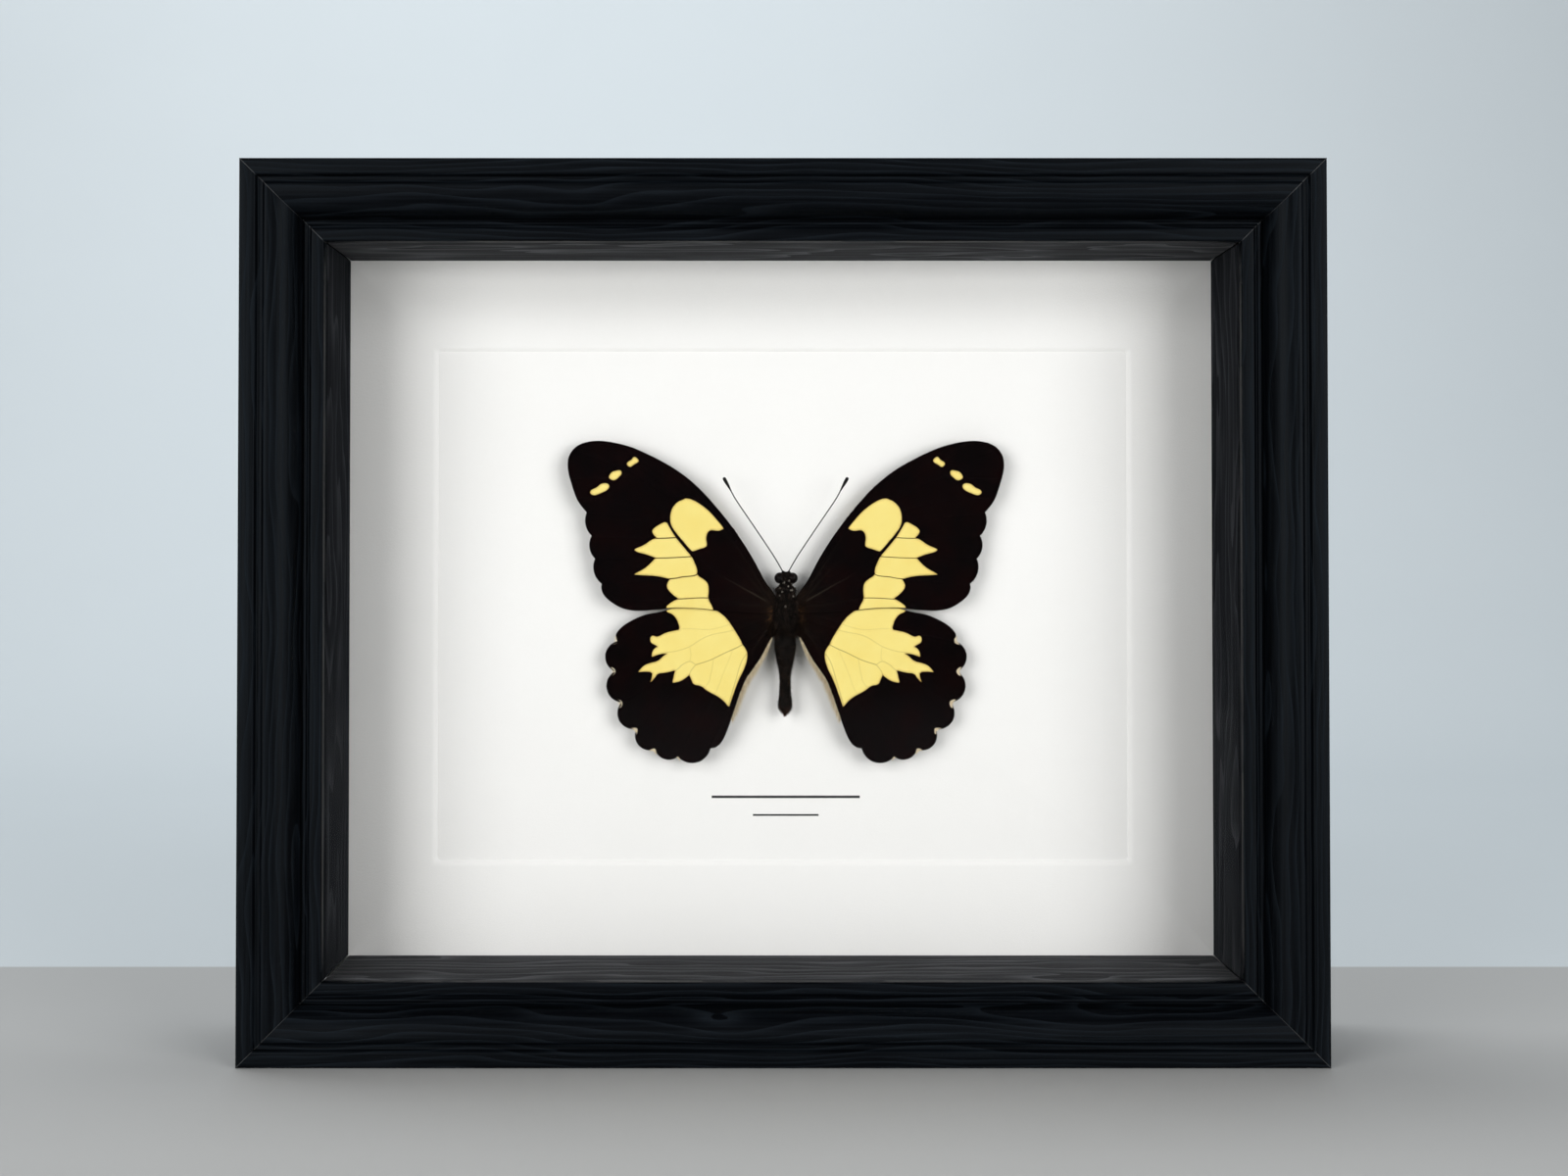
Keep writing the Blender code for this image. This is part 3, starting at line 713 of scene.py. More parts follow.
def build_card():
    """The card as a fine mesh: the panel's edge is a soft S pressed into the board."""
    half_w, half_h = (card_high.x - card_low.x) / 2, (card_high.z - card_low.z) / 2
    thickness = card_high.y - card_low.y
    soft = CARD_EDGE * 0.3
    loops = [(half_w, half_h, thickness), (half_w, half_h, CARD_EDGE), (half_w - soft, half_h - soft, soft),
             (half_w - CARD_EDGE, half_h - CARD_EDGE, 0.0)]
    outer_loops = len(loops)
    for i in range(PANEL_STEPS + 1):
        t = i / PANEL_STEPS
        inset = PANEL_BEVEL * t
        loops.append((PANEL_WIDTH / 2 - inset, PANEL_HEIGHT / 2 - inset,
                      PANEL_DEPTH * t ** PANEL_CURVE * PANEL_OVERDEEP))
    inset = PANEL_BEVEL + PANEL_RETURN
    loops.append((PANEL_WIDTH / 2 - inset, PANEL_HEIGHT / 2 - inset, PANEL_DEPTH))
    rings = []
    for index, (w, h, depth) in enumerate(loops):
        on_panel = index >= outer_loops
        radius, right, rise = (PANEL_CORNER, PANEL_X, PANEL_RISE) if on_panel else (CARD_CORNER, 0, 0)
        ring = []
        for quarter, (sx, sz) in enumerate(((1, 1), (-1, 1), (-1, -1), (1, -1))):
            start = 90 * quarter
            for px, pz in arc((0, 0), radius, start, start + 90, 6):
                ring.append((right + sx * (w - radius) + px, CARD_Y + depth,
                             MIDDLE_Z + rise + sz * (h - radius) + pz))
        rings.append(ring)
    card = loft("card_sheet", rings, card_material(), angle=30)
    place(card, ["mount_card"])


# The printed rules: half length, height above the frame's foot and half thickness, in millimetres
RULES = {"long": (17.6, 54.9, 0.3), "short": (7.8, 50.6, 0.22)}
RULE_STATIONS = 60
INK_PROUD, INK_SUNK = 0.02 * MM, 0.05 * MM


def build_rules():
    """Two plain printed rules under the specimen, a long one over a short one."""
    ink = ink_material()
    front, back = CARD_Y + PANEL_DEPTH - INK_PROUD, CARD_Y + PANEL_DEPTH + INK_SUNK
    for label, (half_length, height, half_thick) in RULES.items():
        rings = []
        for i in range(RULE_STATIONS + 1):
            x = SPECIMEN_X + (-half_length + 2 * half_length * i / RULE_STATIONS) * MM
            half = half_thick * (1 + 0.06 * noise.noise(Vector((i * 0.9, half_length, 0)))) * MM
            bottom, top = height * MM - half, height * MM + half
            rings.append([(x, front, bottom), (x, front, top), (x, back, top), (x, back, bottom)])
        place(loft(f"printed_rule_{label}", rings, ink), None)


# ---------------------------------------------------------------- wings: outlines and markings
# All in millimetres: outwards from the body's axis, and up.

WING_OFFSET = 0.4  # between the body's axis and where the wings' drawing starts

FOREWING_COSTA = [(1.2, 1.6), (2.6, 3.6), (4.8, 6.7), (7.0, 10.9), (9.8, 15.5), (13.7, 20.9),
                  (19.8, 27.9), (25.6, 32.6), (32.6, 36.4), (37.8, 38.4), (43.7, 39.4), (48.2, 38.6),
                  (50.6, 36.3), (51.1, 33.0), (50.0, 28.6), (48.7, 25.2), (46.6, 22.5)]
FOREWING_NOTCHES = [(46.6, 22.5), (45.4, 17.0), (44.6, 11.6), (43.0, 5.7)]
FOREWING_LOBES = [0.9, 0.95, 1.1]
FOREWING_INNER = [(43.0, 5.7), (43.1, 4.4), (42.2, 2.6), (39.9, 0.8), (37.6, -0.25), (34.6, -0.65),
                  (30.2, -0.4), (26.0, -0.05), (20.5, -0.2), (16.3, -0.6), (10.0, -1.1), (1.2, -1.6)]

HINDWING_COSTA = [(1.2, 0.0), (6.0, 1.6), (12.0, 2.6), (21.0, 2.0), (27.9, -0.6), (32.6, -1.6),
                  (36.0, -3.0), (38.4, -4.6), (39.7, -6.3), (39.4, -7.9)]
HINDWING_NOTCHES = [(39.4, -7.9), (40.0, -15.0), (38.4, -22.3), (34.8, -28.5), (30.5, -33.3),
                    (25.1, -35.0), (17.4, -33.0)]
HINDWING_LOBES = [2.55, 2.75, 2.6, 2.25, 1.5, 2.45]
HINDWING_INNER = [(17.4, -33.0), (16.2, -32.8), (14.9, -31.7), (13.9, -29.9), (12.4, -25.9),
                  (11.6, -23.6), (10.4, -20.2), (8.8, -16.7), (7.4, -14.7), (4.9, -10.9), (2.7, -6.9),
                  (1.2, -5.5)]

CELL_PATCH = [(22.2, 13.4), (23.3, 15.05), (25.7, 17.75), (26.7, 19.4), (26.95, 20.9), (26.75, 22.8),
              (26.0, 24.2), (24.4, 25.5), (22.9, 25.9), (20.7, 25.1), (17.7, 22.9), (15.6, 20.6),
              (14.1, 18.8), (14.8, 18.35), (15.7, 18.1), (17.3, 18.4), (18.1, 17.8), (18.45, 16.4),
              (18.2, 15.1), (18.4, 14.3), (20.2, 13.8), (21.3, 13.35)]
FOREWING_BAND = [(27.8, 20.4), (29.2, 19.8), (30.9, 18.7), (31.2, 17.9), (30.6, 17.0), (30.1, 16.6),
                 (31.4, 16.0), (33.0, 14.8), (34.6, 14.2), (35.4, 13.7), (34.6, 13.1), (33.0, 12.75),
                 (31.4, 12.2), (30.4, 11.75), (31.5, 10.5), (33.0, 9.2), (34.6, 8.4), (35.4, 7.85),
                 (33.3, 7.7), (30.5, 7.6), (28.4, 7.2), (27.0, 6.75), (27.5, 5.9), (27.75, 5.0),
                 (27.1, 3.9), (26.0, 2.9), (25.0, 2.2), (26.0, 1.7), (27.0, 1.05), (27.9, 0.3),
                 (27.6, -0.4), (22.0, -0.5), (16.6, -0.8), (17.0, 0.5), (18.0, 2.2), (17.75, 4.0),
                 (17.9, 5.6), (18.7, 6.6), (20.6, 7.7), (20.45, 9.0), (21.2, 10.9), (21.8, 12.1),
                 (23.6, 14.2), (25.6, 16.6), (27.0, 18.9)]
APEX_SPOTS = [
    [(37.1, 33.8), (36.9, 34.4), (36.1, 34.9), (35.6, 35.5), (35.1, 35.6), (34.4, 35.0), (34.5, 34.4),
     (35.6, 33.7), (36.4, 33.25)],
    [(41.35, 31.0), (40.7, 32.0), (39.5, 32.4), (38.6, 32.4), (38.4, 31.6), (39.3, 30.6), (40.2, 30.1),
     (41.1, 30.4)],
    [(45.8, 27.3), (45.4, 27.9), (44.3, 28.4), (43.3, 29.2), (42.0, 29.4), (41.3, 28.8), (41.7, 27.9),
     (43.0, 27.2), (44.6, 26.6), (45.5, 26.8)],
]
HINDWING_PATCH = [(27.9, 0.6), (27.9, -0.9), (26.5, -1.4), (25.6, -2.3), (25.0, -3.5), (24.6, -5.1),
                  (25.8, -5.35), (27.9, -5.8), (29.9, -6.9), (30.6, -6.6), (31.2, -6.5), (31.7, -7.2),
                  (31.5, -8.2), (30.5, -8.75), (29.9, -9.1), (30.7, -9.65), (31.2, -10.5),
                  (31.25, -11.6), (30.2, -11.2), (29.3, -10.9), (27.6, -10.75), (28.6, -11.4),
                  (29.8, -12.6), (32.1, -13.1), (33.4, -13.8), (34.5, -15.2), (33.0, -15.0),
                  (31.1, -15.15), (31.2, -16.4), (31.6, -17.6), (30.7, -16.7), (29.8, -15.4),
                  (27.9, -15.3), (25.7, -14.7), (26.05, -16.0), (26.4, -17.7), (24.4, -17.3),
                  (23.1, -16.4), (22.4, -15.8), (21.9, -16.9), (21.4, -18.1), (19.6, -18.3),
                  (18.3, -19.5), (16.0, -20.6), (14.3, -21.8), (13.05, -23.4), (12.2, -20.9),
                  (10.9, -17.2), (9.2, -13.9), (8.55, -11.0), (9.2, -9.4), (9.9, -8.6), (10.3, -7.5),
                  (11.7, -5.2), (13.6, -2.4), (15.2, -1.1), (17.0, 0.2), (22.0, 0.8)]

# Veins: half width, how dark a line each leaves on yellow, then its route
FOREWING_VEINS = [
    (0.17, 1.0, [(2.0, 2.2), (11.6, 6.1), (15.1, 8.0), (19.5, 11.3), (22.1, 13.45), (25.7, 17.6),
                 (27.2, 20.3), (26.9, 23.2), (25.6, 25.6)]),
    (0.16, 0.9, [(2.0, 2.8), (7.0, 8.8), (13.0, 17.4), (18.5, 23.9), (22.5, 26.4), (25.6, 25.6),
                 (36.0, 30.5), (50.2, 30.5)]),
    (0.14, 0.8, [(2.4, 3.0), (8.6, 12.2), (15.5, 21.8), (24.0, 30.2), (31.0, 35.2)]),
    (0.12, 0.8, [(23.5, 26.6), (30.5, 32.2), (38.6, 38.3)]),
    (0.12, 0.8, [(26.4, 26.8), (33.5, 32.6), (43.6, 39.0)]),
    (0.12, 0.8, [(31.5, 28.8), (40.5, 34.0), (49.2, 37.2)]),
    (0.12, 0.8, [(27.0, 22.9), (37.0, 25.2), (48.8, 26.0)]),
    (0.12, 0.8, [(27.2, 20.3), (36.0, 21.2), (46.4, 22.3)]),
    (0.11, 0.9, [(25.0, 16.6), (31.0, 16.4), (45.2, 16.9)]),
    (0.11, 0.85, [(21.9, 12.1), (26.0, 11.85), (31.0, 11.7), (44.4, 11.5)]),
    (0.11, 0.9, [(18.8, 9.8), (20.7, 7.8), (24.0, 7.3), (27.5, 6.8), (42.8, 5.6)]),
    (0.11, 0.8, [(3.0, 0.4), (12.0, 1.6), (18.0, 2.35), (25.0, 2.1), (34.0, 1.6), (41.0, 1.7)]),
]
HINDWING_VEINS = [
    (0.1, 0.12, [(3.0, -1.6), (9.8, -2.8), (17.0, -5.0), (24.0, -4.9), (32.0, -6.4), (39.6, -7.9)]),
    (0.09, 0.2, [(3.0, -2.2), (12.0, -5.2), (18.0, -6.6), (22.3, -9.1), (25.6, -10.2), (29.2, -10.9),
                 (39.8, -14.8)]),
    (0.1, 0.5, [(3.0, -4.2), (9.8, -8.6), (14.0, -10.6), (17.5, -12.3), (20.9, -13.4)]),
    (0.1, 0.26, [(20.9, -13.4), (22.3, -12.6), (24.2, -13.5), (26.3, -15.2), (38.3, -22.2)]),
    (0.08, 0.14, [(22.3, -9.1), (22.0, -11.0), (22.3, -12.6)]),
    (0.1, 0.26, [(20.9, -13.4), (22.1, -15.0), (24.0, -18.5), (34.6, -28.2)]),
    (0.08, 0.16, [(16.6, -12.0), (17.4, -16.0), (18.9, -19.0), (30.3, -33.0)]),
    (0.08, 0.12, [(12.0, -9.8), (14.2, -15.0), (16.4, -20.4), (25.0, -34.8)]),
    (0.1, 0.3, [(4.0, -6.0), (9.4, -11.5), (11.6, -17.5), (14.2, -26.0), (17.4, -32.7)]),
]
# Pale streaks near the body: width, strength, route
FOREWING_PALE = [
    (0.06, 0.17, [(4.4, 1.7), (8.0, 3.7), (11.6, 5.8), (14.4, 7.3)]),
    (0.08, 0.035, [(4.2, 3.2), (7.6, 8.6), (12.0, 15.2), (16.0, 20.4)]),
    (0.08, 0.03, [(4.2, 2.4), (7.5, 6.2), (11.5, 10.6), (16.0, 14.4)]),
    (0.08, 0.03, [(4.4, 0.4), (8.0, 0.6), (13.0, 1.5), (17.0, 2.2)]),
]
HINDWING_PALE = [
    (0.08, 0.05, [(4.0, -5.0), (6.4, -8.4), (8.4, -12.2)]),
]
# The cream fringe in each of the hindwing's notches but the last
FRINGE_NOTCHES = HINDWING_NOTCHES[:6]
FRINGE_WIDTHS = (1.9, 2.0, 2.1, 1.8, 1.7, 1.5)
FRINGE_LENGTHS = (0.9, 0.95, 1.0, 1.0, 0.9, 0.6)
FRINGE_HAIRS = 150
SILK_HAIRS = 2600  # along the hindwing's inner margin


def wing_outline(costa, notches, bulges, inner):
    points = smooth_line(costa, 6)[:-1]
    for start, end, bulge in zip(notches, notches[1:], bulges):
        points += lobe(start, end, bulge, 14)
    points += smooth_line(inner, 6)
    return points


def resample(points, spacing, closed):
    """The same line with a point about every spacing, its corners kept."""
    source = list(points) + ([points[0]] if closed else [])
    made = []
    for a, b in zip(source, source[1:]):
        length = math.dist(a, b)
        count = max(1, round(length / spacing))
        for i in range(count):
            made.append((a[0] + (b[0] - a[0]) * i / count, a[1] + (b[1] - a[1]) * i / count))
    if not closed:
        made.append(tuple(source[-1]))
    return made


def inside(polygon, points):
    """True for each of the points that the polygon holds."""
    poly = np.asarray(polygon)
    x, y = points[:, 0], points[:, 1]
    found = np.zeros(len(points), bool)
    x0, y0 = poly[-1]
    for x1, y1 in poly:
        crosses = (y0 > y) != (y1 > y)
        if y0 != y1:
            found ^= crosses & (x < (x1 - x0) * (y - y0) / (y1 - y0) + x0)
        x0, y0 = x1, y1
    return found


def distance_to(line, points):
    """The distance from each of the points to a line of straight runs."""
    nearest = np.full(len(points), 1e9)
    for a, b in zip(np.asarray(line), np.asarray(line)[1:]):
        run = b - a
        share = np.clip(((points - a) @ run) / max(run @ run, 1e-12), 0, 1)
        nearest = np.minimum(nearest, np.linalg.norm(points - a - share[:, None] * run, axis=1))
    return nearest


def offset_line(line, distance):
    """The line moved sideways."""
    points = np.asarray(line)
    tangent = np.gradient(points, axis=0)
    tangent /= np.maximum(np.linalg.norm(tangent, axis=1, keepdims=True), 1e-9)
    return [tuple(p) for p in points + distance * np.stack([-tangent[:, 1], tangent[:, 0]], axis=1)]


# Half width of the forewing's inner-margin line: a brown line that is also painted shade where the forewing
# overlaps the hindwing.
MARGIN_LINE_AND_SHADE_WIDTH = 0.2
WING_GRID = 0.42
PATCH_SPACING, VEIN_SPACING, STREAK_SPACING = 0.35, 0.4, 0.3  # between the points of each kind of line
RIM_CLEARANCE = 0.2
WING_THICKNESS = 0.14
LINED_REACH = 42.0  # veins leave dark lines on the yellow up to here, and none on the spots beyond


def staggered_grid(low, high):
    """Points in rows, every other row half a step along."""
    grid = []
    row = 0
    v = low[1]
    while v < high[1]:
        u = low[0] + (0.5 * WING_GRID if row % 2 else 0.0)
        while u < high[0]:
            grid.append((u, v))
            u += WING_GRID
        v += WING_GRID * 0.866
        row += 1
    return np.asarray(grid)


def wing_sheet(rim, patch_lines, vein_lines, margin_line_and_shade, pale_lines):
    """Flat points and triangles inside the rim, whose edges follow every line given."""
    coords, edges = [], []

    def add_line(points, closed=False):
        start = len(coords)
        coords.extend(points)
        count = len(points)
        edges.extend((start + i, start + (i + 1) % count) for i in range(count if closed else count - 1))

    def add_band(line, half_width):
        for sideways in (-half_width, 0.0, half_width):
            add_line(offset_line(line, sideways) if sideways else line)

    add_line(rim, True)
    for line in patch_lines:
        add_line(resample(line, PATCH_SPACING, closed=True), True)
    for half_width, _, line in vein_lines:
        add_band(line, half_width)
    if margin_line_and_shade:
        for sideways in (MARGIN_LINE_AND_SHADE_WIDTH, -MARGIN_LINE_AND_SHADE_WIDTH):
            add_line(offset_line(resample(margin_line_and_shade, VEIN_SPACING, closed=False), sideways))
    for width, _, route in pale_lines:
        add_band(resample(smooth_line(route, 6), STREAK_SPACING, closed=False), width)
    rim = np.asarray(rim)
    grid = staggered_grid(rim.min(axis=0), rim.max(axis=0))
    grid = grid[inside(rim, grid)]
    grid = grid[distance_to(rim, grid) > RIM_CLEARANCE]
    coords.extend(tuple(p) for p in grid)
    result = delaunay_2d_cdt([Vector(p) for p in coords], edges, [], 0, 1e-5, False)
    verts = np.array([tuple(p) for p in result[0]])
    faces = np.array([f for f in result[2] if len(f) == 3])
    faces = faces[inside(rim, verts[faces].mean(axis=1))]
    used, index = np.unique(faces, return_inverse=True)
    return verts[used], index.reshape(faces.shape)


def build_wing(name, side, outline, patches, veins, pale_lines, margin_line_and_shade, lift, material,
               node_name):
    """A thin closed sheet whose patches and veins are its own edges, with raised veins and pleats."""
    rim = resample(outline, WING_GRID, closed=True)
    patch_lines = [smooth_loop(patch, 4) if len(patch) < 12 else smooth_corners(patch) for patch in patches]
    vein_lines = [(half_width, darkness, resample(smooth_line(route, 6), VEIN_SPACING, closed=False))
                  for half_width, darkness, route in veins]
    verts, faces = wing_sheet(rim, patch_lines, vein_lines, margin_line_and_shade, pale_lines)
    middles = verts[faces].mean(axis=1)

    yellow = np.zeros(len(faces))
    for line in patch_lines:
        yellow[inside(line, middles)] = 1.0
    line_mark = np.zeros(len(faces))
    marked = (yellow > 0) & (np.linalg.norm(middles, axis=1) < LINED_REACH)
    vein_mark = np.zeros(len(verts))
    ridge = np.zeros(len(verts))
    for half_width, darkness, line in vein_lines:
        near = distance_to(line, middles) < half_width
        line_mark[near & marked] = darkness
        away = distance_to(line, verts)
        bump = np.exp(-(away / (half_width * 1.1)) ** 2)
        vein_mark = np.maximum(vein_mark, bump)
        ridge = np.maximum(ridge, bump * half_width * 0.6)
    if margin_line_and_shade:
        # The forewing's inner margin takes a dark brown line on the yellow: partly the margin's own brown,
        # partly painted shade of the overlap.
        line_mark[(distance_to(margin_line_and_shade, middles) < MARGIN_LINE_AND_SHADE_WIDTH) & (yellow > 0)] = 0.75
    border = np.full(len(verts), 9.0)
    for line in patch_lines:
        border = np.minimum(border, distance_to([*line, line[0]], verts))
    pale = np.zeros(len(verts))
    for width, strength, route in pale_lines:
        line = np.asarray(smooth_line(route, 6))
        along = np.linalg.norm(verts - line[0], axis=1) / np.linalg.norm(line[-1] - line[0])
        fade = np.clip(1.15 - along, 0, 1)
        pale = np.maximum(pale, strength * fade * np.exp(-(distance_to(line, verts) / width) ** 2))

    heights = np.array([wing_height(u, v) for u, v in verts]) + ridge
    edge_drop = np.clip(1 - distance_to(rim, verts) / 1.2, 0, 1) ** 2 * 0.06
    lifts = lift - 0.05 + heights - edge_drop
    built = mesh_object(name, on_wing(side, verts[:, 0], verts[:, 1], lifts), faces, material, angle=60)
    reach = np.linalg.norm(verts, axis=1)
    ray = np.arctan2(verts[:, 1], verts[:, 0])
    point_floats(built, "ray", ray)
    point_floats(built, "reach", reach / 10.0)
    point_floats(built, "vein", vein_mark)
    point_floats(built, "dust", np.clip(1 - reach / 17.0, 0, 1) ** 1.3 * 0.8)
    point_floats(built, "pale", np.clip(pale, 0, 1))
    point_floats(built, "border", np.exp(-(border / 0.24) ** 2))
    for label, values in (("yellow", yellow), ("line", line_mark)):
        attribute = built.data.attributes.new(label, "FLOAT", "FACE")
        attribute.data.foreach_set("value", values.astype(np.float32))
    face_out(built)
    thicken = built.modifiers.new("thickness", "SOLIDIFY")
    thicken.thickness = WING_THICKNESS * MM
    thicken.offset = -1.0
    return place(built, [node_name])


def smooth_corners(points):
    """A light rounding of a drawn outline: each corner gives way to two points near it."""
    made = []
    count = len(points)
    for k in range(count):
        a, b, c = (np.asarray(points[(k + o) % count]) for o in (-1, 0, 1))
        to_a, to_c = a - b, c - b
        cos = to_a @ to_c / (np.linalg.norm(to_a) * np.linalg.norm(to_c))
        share = 0.12 if cos > 0.2 else 0.26
        made += [tuple(b + to_a * share), tuple(b + to_c * share)]
    return made


def wing_height(u, v):
    """How far a point of a wing stands above its plane, in millimetres."""
    angle = math.atan2(v, u)
    reach = math.hypot(u, v)
    pleat = 0.05 * math.sin(angle * 26) * min(1.0, reach / 25)
    swell = 0.12 * noise.noise(Vector((u * 0.07, v * 0.07, 3.1)))
    return pleat + swell


# ---------------------------------------------------------------- hair


HAIR_TAPER = 0.75  # a hair's radius half way, as a share of its root's
HAIR_FADE = (0, 0, 0, 0.08, 0.08, 0.08, 0.18)  # how much paler each of its points is than its root


def strands(name, roots, tips, radii, tones, material, bend=0.12):
    """One mesh of many fine hairs, each a three-sided cone with a bend in it."""
    roots, tips = np.asarray(roots, float), np.asarray(tips, float)
    radii = np.broadcast_to(np.asarray(radii, float), len(roots))
    along = tips - roots
    length = np.linalg.norm(along, axis=1, keepdims=True)
    along = along / np.maximum(length, 1e-9)
    helper = np.where(np.abs(along[:, :1]) < 0.8, [[1.0, 0, 0]], [[0, 0, 1.0]])
    first = np.cross(along, helper)
    first /= np.linalg.norm(first, axis=1, keepdims=True)
    second = np.cross(along, first)
    middle = (roots + tips) / 2 + first * length * bend
    corners = []
    for centre, share in ((roots, 1.0), (middle, HAIR_TAPER)):
        for angle in turns(3):
            outwards = first * math.cos(angle) + second * math.sin(angle)
            corners.append(centre + outwards * radii[:, None] * share)
    corners.append(tips)
    verts = np.stack(corners, axis=1).reshape(-1, 3)
    pattern = [(2, 1, 0), (0, 1, 4, 3), (1, 2, 5, 4), (2, 0, 3, 5), (3, 4, 6), (4, 5, 6), (5, 3, 6)]
    faces = [tuple(7 * k + i for i in face) for k in range(len(roots)) for face in pattern]
    built = mesh_object(name, verts, faces, material, angle=80)
    tone = np.asarray(tones, float)[:, None] + np.array(HAIR_FADE)
    point_floats(built, "tone", np.clip(tone.reshape(-1), 0, 1))
    return place(built, None)


def on_wing(side, outward, up, lift):
    """World points from a wing's drawing, which falls back towards the card on its way out."""
    outward = np.asarray(outward, float)
    return to_world(side, outward + WING_OFFSET, up, lift - WING_DROOP * outward)


def to_world(side, outward, up, lift):
    """World points from the specimen's drawing and the height above the card, in millimetres."""
    outward, up, lift = np.broadcast_arrays(*(np.asarray(v, float) for v in (outward, up, lift)))
    return np.stack([SPECIMEN_X + side * outward * MM, CARD_Y - lift * MM, SPECIMEN_Z + up * MM], axis=-1)


def build_notch_fringes(side, label, material):
    """Cream cilia that fill the notches of the hindwing."""
    rng = np.random.default_rng(11 if side < 0 else 12)
    roots, tips, tones = [], [], []
    centre = np.array([18.0, -14.0])
    for notch, width, length in zip(np.asarray(FRINGE_NOTCHES), FRINGE_WIDTHS, FRINGE_LENGTHS):
        outwards = (notch - centre) / np.linalg.norm(notch - centre)
        sideways = np.array([-outwards[1], outwards[0]])
        for _ in range(FRINGE_HAIRS):
            across = rng.uniform(-0.5, 0.5) * width
            hollow = 1 - (2 * abs(across) / width) ** 2
            start = notch + sideways * across - outwards * 0.15 + outwards * (1 - hollow) * 0.75
            reach = length * (0.55 + 0.45 * hollow) * rng.uniform(0.75, 1.05)
            end = start + outwards * reach + sideways * rng.normal(0, 0.08)
            roots.append(on_wing(side, start[0], start[1], HINDWING_LIFT - 0.1 + rng.uniform(-0.05, 0.05)))
            tips.append(on_wing(side, end[0], end[1], HINDWING_LIFT - 0.15 + rng.uniform(-0.08, 0.08)))
            tones.append(rng.uniform(0.3, 1.0))
    strands(f"notch_fringe_{label}", roots, tips, 0.035 * MM, tones, material)


def build_margin_fringe(name, side, outline, lift, material, seed):
    """Short dark cilia along a wing's outer margin."""
    rng = np.random.default_rng(seed)
    rim = np.asarray(resample(outline, 0.12, closed=True))
    ahead = np.roll(rim, -1, axis=0) - rim
    ahead /= np.maximum(np.linalg.norm(ahead, axis=1, keepdims=True), 1e-9)
    outwards = np.stack([-ahead[:, 1], ahead[:, 0]], axis=1)
    free = np.linalg.norm(rim, axis=1) > 24
    rim, ahead, outwards = rim[free], ahead[free], outwards[free]
    size = rng.uniform(0.12, 0.3, len(rim))[:, None]
    start = rim - outwards * 0.1
    end = rim + outwards * size + ahead * rng.normal(0, 0.06, len(rim))[:, None]
    roots = on_wing(side, start[:, 0], start[:, 1], lift - 0.12)
    tips = on_wing(side, end[:, 0], end[:, 1], lift - 0.15)
    strands(name, roots, tips, 0.025 * MM, rng.uniform(0, 0.8, len(rim)), material)


def build_inner_fringe(side, label, material):
    """The pale silky hairs along the hindwing's inner margin."""
    rng = np.random.default_rng(21 if side < 0 else 22)
    margin = np.asarray(resample(smooth_line(HINDWING_INNER[4:11], 8), 0.05, closed=False))
    roots, tips, tones = [], [], []
    for _ in range(SILK_HAIRS):
        share = rng.uniform(0, 1) ** 0.9
        at = margin[int(share * (len(margin) - 2))]
        ahead = margin[int(share * (len(margin) - 2)) + 1]
        along = (ahead - at) / np.linalg.norm(ahead - at)
        outwards = np.array([-along[1], along[0]])
        if outwards[0] > 0:
            outwards = -outwards
        body = math.sin(math.pi * min(1.0, 0.12 + 0.9 * share)) ** 0.6
        length = (0.6 + 1.9 * body) * rng.uniform(0.5, 1.15)
        start = at - outwards * rng.uniform(0.0, 0.35)
        end = start + outwards * length * rng.uniform(0.4, 0.75) - along * length * rng.uniform(0.5, 1.0)
        roots.append(on_wing(side, start[0], start[1], HINDWING_LIFT - 0.08))
        tips.append(on_wing(side, end[0], end[1], HINDWING_LIFT - rng.uniform(0.1, 0.9)))
        tones.append(rng.uniform(0.0, 1.0))
    strands(f"inner_fringe_{label}", roots, tips, 0.022 * MM, tones, material)


# ---------------------------------------------------------------- body

HEAD_X = 0.0
THORAX_X = -0.1
ABDOMEN_X = -0.2
ANTENNA_X = -0.1
SHAFT_RADIUS, CLUB_SWELL = 0.13, 0.27
BODY_SIDES = 40
EYE_RINGS = 24
EYE_OUT, EYE_UP, EYE_LIFT = 1.55, 7.05, 5.05
EYE_RADII = (1.2, 1.3, 1.45)
CLUMP_SIZE = 0.75 * MM  # how far the body hair keeps one shade

HEAD = [(8.55, 0.25, 0.3, 5.0), (8.4, 0.8, 0.7, 5.0), (7.9, 1.35, 1.2, 4.95), (7.2, 1.65, 1.5, 4.9),
        (6.4, 1.6, 1.5, 4.8), (5.8, 1.35, 1.3, 4.7), (5.4, 0.8, 0.9, 4.7)]
THORAX = [(6.3, 0.5, 0.5, 4.7), (5.8, 1.0, 1.0, 4.7), (5.3, 1.5, 1.5, 4.7), (4.7, 2.2, 1.9, 4.7),
          (4.2, 2.35, 2.05, 4.7), (3.7, 2.1, 2.05, 4.7), (3.3, 1.95, 2.1, 4.6), (2.6, 2.35, 2.45, 4.5),
          (1.2, 2.8, 2.8, 4.5), (-0.8, 3.1, 2.9, 4.5), (-2.6, 3.1, 2.8, 4.4), (-4.2, 2.9, 2.6, 4.3),
          (-5.4, 2.65, 2.35, 4.1), (-6.2, 2.4, 2.1, 3.9), (-6.7, 1.9, 1.7, 3.8), (-6.9, 1.0, 1.0, 3.8)]
